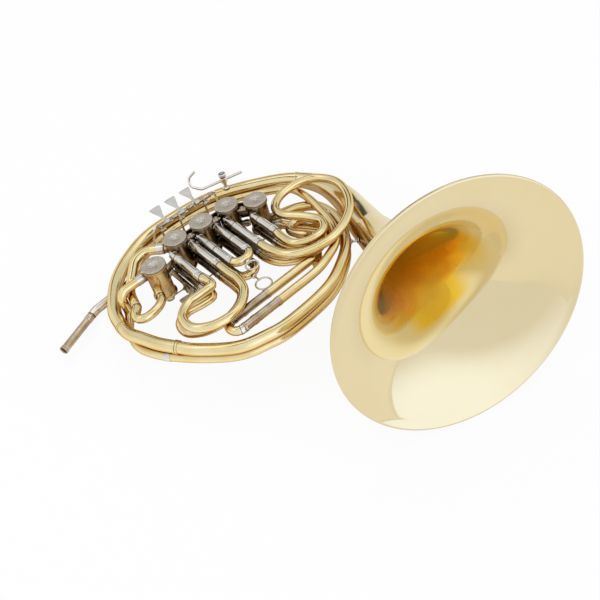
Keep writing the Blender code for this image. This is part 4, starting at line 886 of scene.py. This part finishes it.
def make_slide(name, first_mouth, second_mouth, inward, depths, corners, bend=None, radius=TUBE_RADIUS,
               ferrule_length=7.0, extras=()):
    """One slide: nickel silver legs and ferrules, brass crook."""
    leg, crook, far_leg = slide_paths(first_mouth, second_mouth, inward, depths, corners, bend)
    piece(name + "_crook", [sweep(crook, radius - 0.25)], "brass", name, nodes=(name,))
    total = travel(crook)[-1]
    shapes = [sweep(leg, LEG_RADIUS), sweep(far_leg, LEG_RADIUS)]
    lines = []
    for low, line_at in ((0.0, ferrule_length), (total - ferrule_length, total - ferrule_length)):
        shapes.append(sweep(cut_path(crook, low, low + ferrule_length), radius, 40))
        stretch = cut_path(crook, line_at - 0.4, line_at + 0.4)
        before, after = stretch[0], stretch[-1]
        lines.append(seam((before + after) / 2, after - before, radius, 0.7))
    piece(name + "_legs", shapes + list(extras), "silver", name)
    piece(name + "_seams", lines, "seam", name)


def pull_ring(start, end, centre, radius=8.2, wire=1.15):
    """Pull ring on a stem with a foot plate."""
    heading = (Vector(end) - Vector(start)).normalized()
    return [rod(start, end, 1.0), ball(Vector(end) + heading * 0.2, 1.35),
            revolve([(3.4, -0.2), (3.4, 0.9), (2.6, 1.6), (1.2, 2.2), (0.3, 2.2)], Vector(start) + heading * 3.4,
                    heading),
            wire_ring(centre, radius, wire)]


def make_slides():
    """Every slide of the valves and the main tuning slide."""
    inward = -OUT
    plan = [(-27.5, 3.0, UPPER), (-26.5, -9.5, -16.6), (-40.0, -14.5, -16.6), (-62.0, -22.0, -16.6),
            (-75.5, -41.0, -16.6), (-69.5, -64.0, -16.6), (-46.0, -75.5, -16.6), (-16.0, -69.5, -16.6),
            (3.0, -45.0, -16.6), (4.5, -20.0, -16.6), (-1.5, 3.0, UPPER)]
    make_slide("first_slide", mouth("first", 0, UPPER), mouth("first", 1, UPPER), inward, (50.0, 50.0), plan)
    plan = [(57.5, 10.0), (72.0, -15.0), (94.0, -26.5), (124.0, -26.0), (152.0, -11.5), (175.0, 14.0),
            (187.5, 48.0), (186.0, 80.0), (167.0, 103.5), (140.0, 108.0), (113.0, 98.5), (97.5, 79.0),
            (101.0, 58.0), (121.0, 38.0), (135.0, 17.0), (129.0, -3.0), (108.0, -10.5), (88.0, -1.5),
            (80.5, 20.0)]
    make_slide("third_slide", mouth("third", 0, UPPER), mouth("change", 0, UPPER), inward, (46.0, 36.0),
               [(x, y, UPPER) for x, y in plan])
    plan = [(-29.5, 8.0), (-30.0, -3.0), (-45.0, -7.0), (-66.0, -9.5), (-80.0, -23.0), (-77.5, -43.0),
            (-58.0, -54.0), (-34.6, -53.2), (-11.2, -41.2), (2.4, -22.4), (0.5, -3.0), (-3.5, 12.0)]
    make_slide("low_first_slide", mouth("first", 0, LOWER), mouth("first", 1, LOWER), inward, (46.0, 46.0),
               [(x, y, LOWER) for x, y in plan])
    plan = [(54.5, 20.0), (66.0, 2.0), (88.0, -9.0), (113.0, -7.0), (132.0, 6.0), (139.0, 28.0),
            (137.5, 49.0), (126.0, 61.5), (110.0, 61.5), (101.5, 51.0), (107.0, 38.0), (117.0, 26.0),
            (111.0, 12.0), (96.0, 11.0), (83.0, 24.0)]
    make_slide("low_third_slide", mouth("third", 0, LOWER), mouth("change", 0, LOWER), inward, (40.0, 30.0),
               [(x, y, LOWER) for x, y in plan])
    for name, level, stem, ring_at, size in (("second_slide", UPPER, 4.6, 12.5, 8.2),
                                             ("low_second_slide", LOWER, 14.2, 24.3, 10.4)):
        left = mouth("second", 0, level)
        right = mouth("second", 1, level)
        middle = (left + right) / 2 + OUT * 18.0
        make_slide(name, left, right, inward, (50.0, 50.0), [left + OUT * 14.0, right + OUT * 14.0], 12.5,
                   ferrule_length=5.0, extras=pull_ring(middle, middle + OUT * stem, middle + OUT * ring_at, size))
    corners = [MAIN_UPPER - MAIN_AXIS * 11.5, MAIN_LOWER - MAIN_AXIS * 11.5]
    make_slide("main_tuning_slide", MAIN_UPPER, MAIN_LOWER, MAIN_AXIS, (50.0, 50.0), corners, 10.4, 5.8, 4.0)
    far = Vector((-118.6, 31.0, -30.0))
    near = Vector((-86.6, 31.0, -30.0))
    plan = [(-120.8, 23.5), (-124.2, 14.5), (-121.6, 6.8), (-113.6, 3.7), (-103.0, 6.8), (-92.8, 13.8),
            (-87.0, 23.0)]
    make_slide("stopping_slide", far, near, Vector((0.0, 1.0, 0.0)), (18.0, 10.5),
               [(x, y, -30.0) for x, y in plan], ferrule_length=1.2)


# Levers, links and axles


def bar(stations, axis, across, corners=12):
    """Rounded bar skinned through (centre, half width, half thickness) stations."""
    across = Vector(across).normalized()
    normal = Vector(axis).normalized().cross(across)
    rings = []
    for centre, half_width, half_thickness in stations:
        loop = []
        for k in range(corners * 2):
            angle = math.tau * (k + 0.5) / (corners * 2)
            a = math.copysign(abs(math.cos(angle)) ** 0.35, math.cos(angle))
            b = math.copysign(abs(math.sin(angle)) ** 0.55, math.sin(angle))
            loop.append(Vector(centre) + across * (half_width * a) + normal * (half_thickness * b))
        rings.append(loop)
    return skin(rings)


def eased(stations, count=28):
    """More stations between the given ones, on a smooth curve."""
    path = []
    rows = [stations[0]] + list(stations) + [stations[-1]]
    total = len(stations) - 1
    for s in range(total):
        a, b, c, d = rows[s:s + 4]
        steps = max(1, count // total)
        for k in range(steps + (1 if s == total - 1 else 0)):
            t = k / steps
            path.append(tuple(0.5 * (2 * q + (r - p) * t + (2 * p - 5 * q + 4 * r - w) * t**2
                                     + (3 * q - p - 3 * r + w) * t**3) for p, q, r, w in zip(a, b, c, d)))
    return path


def make_lever(valve, hinge, axle, outward, paddle_at, arm_at, arm_depth, stations):
    """Lever: barrel with end collars, fishtail paddle, hanging arm and link pin."""
    low = min(paddle_at, arm_at) - 3.4
    high = max(paddle_at, arm_at) + 3.4
    start = hinge + axle * low
    length = high - low
    barrel = [(1.9, 0.0), (3.5, 0.0), (3.7, 0.2), (3.7, 1.6), (3.1, 1.8), (3.1, 3.2), (3.6, 3.4), (3.6, length - 3.4),
              (3.1, length - 3.2), (3.1, length - 1.8), (3.7, length - 1.6), (3.7, length - 0.2), (3.5, length),
              (1.9, length)]
    hub = [(1.9, -3.0), (3.9, -3.0), (4.0, -2.6), (4.0, 2.6), (3.9, 3.0), (1.9, 3.0)]
    paddle = []
    for out, rise, half_width in eased(stations):
        share = out / stations[-1][0]
        thick = 0.8 if share < 0.92 else 0.8 - 0.5 * ((share - 0.92) / 0.08) ** 2
        paddle.append((hinge + axle * paddle_at + outward * out + UP * rise, half_width, max(thick, 0.3)))
    arm_top = hinge + axle * arm_at
    arm = [(arm_top - UP * 2.0, 1.2, 2.2), (arm_top - UP * 6.0, 1.2, 1.7), (arm_top - UP * (arm_depth - 3.0), 1.2, 1.6),
           (arm_top - UP * arm_depth, 1.2, 2.2), (arm_top - UP * (arm_depth + 2.4), 1.2, 1.5)]
    foot = arm_top - UP * arm_depth
    shapes = [revolve(barrel, start, axle, ring=True), bar(arm, -UP, axle), rod(foot, foot + axle * 4.38, 1.1)]
    piece(valve + "_lever_barrel", shapes, "aged_and_shaded", valve + "_lever", nodes=(valve + "_lever",))
    piece(valve + "_lever_hub", [revolve(hub, hinge + axle * paddle_at, axle, ring=True)], "satin", valve + "_lever")
    piece(valve + "_paddle", [bar(paddle, outward, axle)], "satin", valve + "_lever", sharp=50.0)


def make_link(valve, hinge, axle, arm_at, arm_depth):
    """Link rod with an eye on the lever's pin and an open eye round the stop arm's pin."""
    pivot = hinge + axle * arm_at - UP * arm_depth
    eye = pivot + axle * 2.5
    fork = pin_place(valve)
    fork = Vector((fork.x, fork.y, pivot.z))
    heading = (fork - eye).normalized()
    start = eye + heading * 2.3
    end = fork - heading * 5.2
    neck = [(eye + heading * 2.2, 1.5), (eye + heading * 4.0, 1.1), (eye + heading * 5.0, 0.9),
            (end - heading * 3.0, 0.9), (end - heading * 2.0, 1.0), (end, 1.0)]
    if (end - start).length < 8.0:
        neck = [(start, 1.2), (end, 1.2)]
    washer = [(1.5, -1.0), (2.6, -1.0), (2.8, -0.8), (2.8, 0.8), (2.6, 1.0), (1.5, 1.0)]
    loop = [(4.7, -0.8), (5.8, -0.8), (6.0, -0.6), (6.0, 0.6), (5.8, 0.8), (4.7, 0.8)]
    shapes = [revolve(washer, eye, axle, ring=True), revolve(loop, fork, UP, ring=True),
              sweep([p for p, r in neck], [r for p, r in neck], 20)]
    piece(valve + "_link_steel", shapes, "steel", valve + "_link", nodes=(valve + "_link",))


def make_levers():
    """Finger levers on their axle and thumb levers on theirs."""
    hinge = row_point(0.0, 48.5, -10.0)
    depth = -10.0 - LINK_Z
    fishtail = [(2.4, 0.3, 2.2), (9.0, 1.6, 2.1), (15.0, 3.3, 3.0), (20.0, 4.8, 5.0), (25.0, 6.3, 7.0),
                (29.0, 7.5, 8.1), (30.5, 7.9, 7.9), (31.0, 8.0, 6.6)]
    for valve, at in (("first", -26.0), ("second", -1.5), ("third", 23.0)):
        arm_at = (pin_place(valve) - hinge).dot(ALONG) - 2.5
        make_lever(valve, hinge, ALONG, -OUT, at, arm_at, depth, fishtail)
        joint = hinge + ALONG * arm_at + OUT * 9.6 - UP * 1.6
        rocker = [(hinge + ALONG * arm_at + OUT * 2.6, 1.7, 1.5), (joint - OUT * 4.0, 1.3, 1.2), (joint, 1.5, 1.6)]
        knob = [(0.02, -4.2), (1.4, -4.2), (1.6, -3.9), (1.6, -3.2), (2.6, -3.0), (2.8, -2.7), (2.8, -0.6),
                (2.3, -0.4), (2.3, 0.4), (2.8, 0.6), (2.8, 2.7), (2.6, 3.0), (1.6, 3.2), (1.6, 3.9), (1.4, 4.2),
                (0.02, 4.2)]
        piece(valve + "_rocker", [bar(rocker, OUT, ALONG), revolve(knob, joint, ALONG, sides=24)], "aged_and_shaded",
              valve + "_lever")
        make_link(valve, hinge, ALONG, arm_at, depth)
    back = -OUT
    hinge = row_point(-61.5, 0.0, -50.0)
    depth = -50.0 - LONG_LINK_Z
    change_arm = (pin_place("change") - hinge).dot(back) - 2.5
    long_spoon = [(2.4, -1.0, 2.2), (7.0, -3.0, 2.6), (11.0, -4.6, 5.0), (18.0, -5.2, 5.8), (22.0, -5.2, 4.6)]
    make_lever("change", hinge, back, -ALONG, -51.0, change_arm, depth, long_spoon)
    make_link("change", hinge, back, change_arm, depth)
    stopping_arm = (pin_place("stopping") - hinge).dot(back) - 2.5
    short_spoon = [(2.4, -1.0, 2.2), (8.0, -4.0, 3.0), (14.0, -6.0, 5.0), (23.0, -6.6, 5.6), (28.0, -6.6, 4.4)]
    make_lever("stopping", hinge, back, -ALONG, 2.2, stopping_arm, depth, short_spoon)
    make_link("stopping", hinge, back, stopping_arm, depth)


def make_axles():
    """Both axles, the posts, and the spacers between the finger levers."""
    left = row_point(-43.0, 48.5, -10.0)
    right = row_point(49.0, 48.5, -10.0)
    piece("finger_axle_steel", [rod(left, right, 1.5)], "steel", nodes=("finger_axle",))
    for side, end, foot in (("left", left, (-64.8, 152.6, -45.0)), ("right", right, (44.0, 177.0, -45.0))):
        top = end + ALONG * ((-1.0 if side == "left" else 1.0) * 2.9)
        run = Vector(foot) - top
        length = run.length - 5.9
        profile = [(0.05, -2.6), (1.3, -2.4), (2.2, -1.5), (2.6, 0.0), (2.2, 1.5), (1.5, 2.6), (1.5, 4.0), (1.9, 4.6),
                   (1.5, 5.2), (1.5, length - 5.0), (2.0, length - 3.4), (3.0, length - 1.0), (3.2, length - 0.6),
                   (3.2, length)]
        piece(side + "_post_silver", [revolve(profile, top, run, sides=32)], "silver", nodes=(side + "_lever_post",))
    spacers = []
    for start, end in ((-41.5, -31.5), (-17.5, -8.0), (7.0, 16.5), (31.0, 45.0)):
        length = end - start
        profile = [(1.7, 0.0), (3.3, 0.0), (3.5, 0.3), (3.5, 2.0), (2.9, 2.3), (2.9, 2.8), (3.4, 3.1),
                   (3.4, length - 3.1), (2.9, length - 2.8), (2.9, length - 2.3), (3.5, length - 2.0),
                   (3.5, length - 0.3), (3.3, length), (1.7, length)]
        spacers.append(revolve(profile, row_point(start, 48.5, -10.0), ALONG, ring=True))
    piece("axle_spacers", spacers, "aged_and_shaded")
    sleeve_u = -SPACING - 13.5
    tip_u = -SPACING - math.sqrt((CASING_RADIUS + 1.8) ** 2 - 7.4**2)
    drop = math.sqrt(7.8**2 - 6.5**2) + 1.2
    corners = [row_point(tip_u, 7.4, -45.6), row_point(-61.5, 7.4, -50.0), row_point(-61.5, -57.0, -50.0),
               row_point(sleeve_u - 6.5, -57.0, LOWER - drop)]
    piece("thumb_axle_steel", [sweep(rounded(corners, 2.2), 1.5, 24)], "steel", nodes=("thumb_axle",))


def make_hook():
    """Hook for the little finger, its post and knurled thumbscrew."""
    y = 190.0
    z = -18.0
    corners = [(92.0, y, z), (30.0, y, z), (18.0, y + 4.0, z + 8.0), (18.0, y + 9.0, z + 19.0),
               (29.0, y + 6.0, z + 27.0)]
    path = rounded(corners, 9.0)
    piece("finger_hook_silver", [sweep(path, 1.95, 24), ball(path[-1], 1.95)], "silver", "finger_hook",
          nodes=("finger_hook",))
    foot = -42.0 + 10.2 + GAP
    post = [(5.2, foot), (5.2, foot + 0.9), (4.6, foot + 1.5), (3.0, foot + 2.6), (2.6, foot + 4.0), (2.6, z - 5.0),
            (4.2, z - 4.0), (4.8, z - 3.4), (4.8, z + 3.6), (4.4, z + 4.2), (2.0, z + 4.4)]
    piece("hook_post_silver", [revolve(post, (64.0, y, 0.0), UP, sides=32)], "silver", nodes=("hook_post",))
    head = z + 4.4 + GAP
    rings = []
    for radius, height, bite in ((2.4, 0.0, 0.0), (2.4, 1.4, 0.0), (4.9, 2.0, 0.0), (5.4, 2.5, 0.35), (5.4, 5.3, 0.35),
                                 (4.9, 5.8, 0.0), (3.4, 6.0, 0.0), (1.0, 5.7, 0.0), (0.05, 5.7, 0.0)):
        loop = []
        for k in range(72):
            angle = math.tau * k / 72
            reach = radius - (bite if k % 3 == 0 else 0.0)
            loop.append(Vector((64.0 + reach * math.cos(angle), y + reach * math.sin(angle), head + height)))
        rings.append(loop)
    piece("thumbscrew_silver", [skin(rings)], "silver", "hook_thumbscrew", nodes=("hook_thumbscrew",))


def brace_shape(centre_a, radius_a, centre_b, radius_b):
    """Round strut with a saddle foot at each end."""
    start = Vector(centre_a)
    run = (Vector(centre_b) - start).normalized()
    start = start + run * (radius_a - 0.3)
    length = (Vector(centre_b) - run * (radius_b - 0.3) - start).length
    profile = [(3.9, 0.0), (3.9, 0.7), (3.3, 1.2), (1.9, 2.2), (1.7, 3.0)]
    if length > 12.0:
        middle = length / 2
        profile += [(1.7, middle - 1.4), (2.3, middle - 0.8), (2.3, middle + 0.8), (1.7, middle + 1.4)]
    profile += [(1.7, length - 3.0), (1.9, length - 2.2), (3.3, length - 1.2), (3.9, length - 0.7), (3.9, length)]
    return revolve(profile, start, run, sides=32)


def make_braces():
    """Struts that tie the leadpipe, ring, bell and valves together."""
    for name, a, radius_a, b, radius_b in (
            ("bell_brace", (151.0, -12.0, -43.0), 7.3, (193.1, -26.0, -50.8), 28.6),
            ("leadpipe_brace", (149.0, 48.0, -30.0), 5.4, (162.0, 51.0, -42.5), 7.0),
            ("row_brace", (-34.0, 166.2, -45.0), 5.6, (-42.7, 107.0, -44.0), 16.4)):
        piece(name + "_silver", [brace_shape(a, radius_a, b, radius_b)], "silver", nodes=(name,))


# Table, light and camera


def make_stage():
    """White table that keeps a faint shadow, and glows with a painted warm shadow near the horn in what the metal
    reflects.
    """
    material, shader, coords, add, links = node_material("white_table")
    shader.inputs["Roughness"].default_value = 0.6
    speck = add("ShaderNodeTexNoise", {"Vector": coords.outputs["Object"], "Scale": 60.0, "Detail": 3.0})
    tone = ramp_node(add, speck.outputs["Fac"], [(0.3, (0.70, 0.70, 0.70)), (0.7, (0.73, 0.73, 0.73))])
    links.new(tone, shader.inputs["Base Color"])
    # Painted shadow: to glossy rays the table turns brown-amber where ambient occlusion finds the horn close, standing
    # in for shade and light bounced off the brass.
    near = add("ShaderNodeAmbientOcclusion", {"Distance": 0.12}, samples=6)
    painted_warm_shadow = ramp_node(add, near.outputs["AO"], [(0.40, (0.34, 0.17, 0.03)), (0.95, (0.92, 0.88, 0.80))])
    path = add("ShaderNodeLightPath")
    lit = add("ShaderNodeMix", {"Factor": path.outputs["Is Glossy Ray"], 6: (1.0, 1.0, 1.0, 1.0), 7: painted_warm_shadow},
              data_type="RGBA")
    glow = add("ShaderNodeEmission", {"Color": lit.outputs[2], "Strength": 1.0})
    seen = add("ShaderNodeMath", {0: path.outputs["Is Camera Ray"], 1: path.outputs["Is Glossy Ray"]},
               operation="MAXIMUM")
    share = add("ShaderNodeMapRange", {"Value": path.outputs["Is Camera Ray"], "To Min": 0.70, "To Max": 0.92})
    share = add("ShaderNodeMath", {0: seen.outputs[0], 1: share.outputs[0]}, operation="MULTIPLY")
    mixed = add("ShaderNodeMixShader", {0: share.outputs[0], 1: shader.outputs[0], 2: glow.outputs[0]})
    output = material.node_tree.nodes["Material Output"]
    links.new(mixed.outputs[0], output.inputs["Surface"])
    mesh = bpy.data.meshes.new("table")
    half = 4.0
    low = -0.0005
    mesh.from_pydata([(-half, -half, low), (half, -half, low), (half, half, low), (-half, half, low)], [],
                     [(0, 1, 2, 3)])
    mesh.materials.append(material)
    table = bpy.data.objects.new("table", mesh)
    bpy.context.scene.collection.objects.link(table)


def make_world():
    """White room with soft grey openings that polished metal picks up."""
    world = bpy.data.worlds.new("white_room")
    bpy.context.scene.world = world
    world.use_nodes = True
    nodes = world.node_tree.nodes
    links = world.node_tree.links
    back = nodes["Background"]
    coords = nodes.new("ShaderNodeTexCoord")

    split = nodes.new("ShaderNodeSeparateXYZ")
    links.new(coords.outputs["Generated"], split.inputs[0])

    def fall(value, low, high, at_low, at_high):
        node = nodes.new("ShaderNodeMapRange")
        node.interpolation_type = "SMOOTHSTEP"
        links.new(value, node.inputs["Value"])
        for socket, number in (("From Min", low), ("From Max", high), ("To Min", at_low), ("To Max", at_high)):
            node.inputs[socket].default_value = number
        return node.outputs["Result"]

    def join(kind, first, second=None):
        node = nodes.new("ShaderNodeMath")
        node.operation = kind
        links.new(first, node.inputs[0])
        if second is not None:
            links.new(second, node.inputs[1])
        return node.outputs[0]

    def facing(direction):
        node = nodes.new("ShaderNodeVectorMath")
        node.operation = "DOT_PRODUCT"
        links.new(coords.outputs["Generated"], node.inputs[0])
        node.inputs[1].default_value = Vector(direction).normalized()
        return node.outputs["Value"]

    far_side = join("MULTIPLY", fall(split.outputs["Y"], 0.02, 0.30, 0.0, 1.0),
                    join("MULTIPLY", fall(split.outputs["X"], -0.45, -0.10, 0.0, 1.0),
                         fall(split.outputs["X"], 0.78, 0.90, 1.0, 0.0)))
    low = join("MULTIPLY", fall(split.outputs["Z"], 0.10, 0.17, 0.0, 1.0),
               fall(split.outputs["Z"], 0.26, 0.40, 1.0, 0.0))
    gap_low = fall(split.outputs["Z"], 0.895, 0.915, 0.0, 1.0)
    gap_high = fall(split.outputs["Z"], 0.945, 0.96, 1.0, 0.0)
    gap = join("MULTIPLY", join("MULTIPLY", gap_low, gap_high), fall(split.outputs["Y"], 0.14, 0.26, 0.0, 1.0))
    shade = fall(join("MULTIPLY", far_side, low), 0.0, 1.0, 0.81, 0.03)
    across = fall(split.outputs["Y"], 0.10, 0.30, 0.0, 1.0)
    bright = join("MULTIPLY", join("MULTIPLY", fall(split.outputs["Z"], 0.70, 0.80, 0.0, 1.0),
                                   fall(split.outputs["Z"], 0.86, 0.90, 1.0, 0.0)), across)
    middle = join("MULTIPLY", join("MULTIPLY", fall(split.outputs["Z"], 0.30, 0.42, 0.0, 1.0),
                                   fall(split.outputs["Z"], 0.55, 0.76, 1.0, 0.0)), across)
    tone = join("MULTIPLY", join("MULTIPLY", shade, fall(bright, 0.0, 1.0, 1.0, 1.38)),
                join("MULTIPLY", fall(gap, 0.0, 1.0, 1.0, 0.04), fall(middle, 0.0, 1.0, 1.0, 0.80)))

    def mix(factor, first, second):
        node = nodes.new("ShaderNodeMix")
        node.data_type = "RGBA"
        links.new(factor, node.inputs["Factor"])
        for number, value in ((6, first), (7, second)):
            if isinstance(value, bpy.types.NodeSocket):
                links.new(value, node.inputs[number])
            else:
                node.inputs[number].default_value = (*value, 1.0)
        return node.outputs[2]

    grey = nodes.new("ShaderNodeCombineColor")
    for channel in range(3):
        links.new(tone, grey.inputs[channel])
    softbox = fall(facing((0.50, -0.78, 0.42)), 0.62, 0.98, 0.0, 1.0)
    room = mix(softbox, grey.outputs["Color"], (1.10, 1.19, 1.42))
    path = nodes.new("ShaderNodeLightPath")
    links.new(mix(path.outputs["Is Camera Ray"], room, (1.0, 1.0, 1.0)), back.inputs["Color"])
    back.inputs["Strength"].default_value = 1.0


def area_light(name, location, target, size, power):
    """Soft square lamp aimed at a point."""
    light = bpy.data.lights.new(name, "AREA")
    light.size = size
    light.energy = power
    obj = bpy.data.objects.new(name, light)
    obj.location = location
    obj.rotation_euler = (Vector(target) - Vector(location)).to_track_quat("-Z", "Y").to_euler()
    obj.visible_glossy = False
    bpy.context.scene.collection.objects.link(obj)


def make_lights():
    """One soft lamp overhead and a weaker one at each side."""
    area_light("top_softbox", (0.1, 0.5, 1.5), (0.0, 0.0, 0.1), 0.9, 9.0)
    area_light("left_softbox", (-1.3, -0.3, 0.9), (0.0, 0.0, 0.1), 0.6, 5.0)
    area_light("right_softbox", (1.2, -0.9, 0.7), (0.1, -0.1, 0.1), 0.5, 3.5)


def make_camera():
    """Camera at the photo's angle, 0.97 m away."""
    data = bpy.data.cameras.new("photo_camera")
    data.lens = 48.0
    data.sensor_width = 36.0
    data.clip_start = 0.01
    camera = bpy.data.objects.new("photo_camera", data)
    bpy.context.scene.collection.objects.link(camera)
    right = Vector((0.88869, -0.40764, -0.20992))
    up = Vector((0.42758, 0.57146, 0.70044))
    turn = Matrix((right, up, right.cross(up))).transposed().to_4x4()
    where = Matrix.Translation(PLACE @ Vector((-99.3, -752.7, 609.05)))
    camera.matrix_world = where @ TILT @ turn
    bpy.context.scene.camera = camera


def main():
    """Dress the whole horn."""
    bpy.context.scene.view_settings.view_transform = "Standard"
    make_bell()
    make_ring()
    make_fixed_tubes()
    make_casings()
    for valve in VALVES:
        make_rotor(valve)
        make_cap(valve)
    make_slides()
    make_levers()
    make_axles()
    make_hook()
    make_braces()
    make_stage()
    make_world()
    make_lights()
    make_camera()


main()
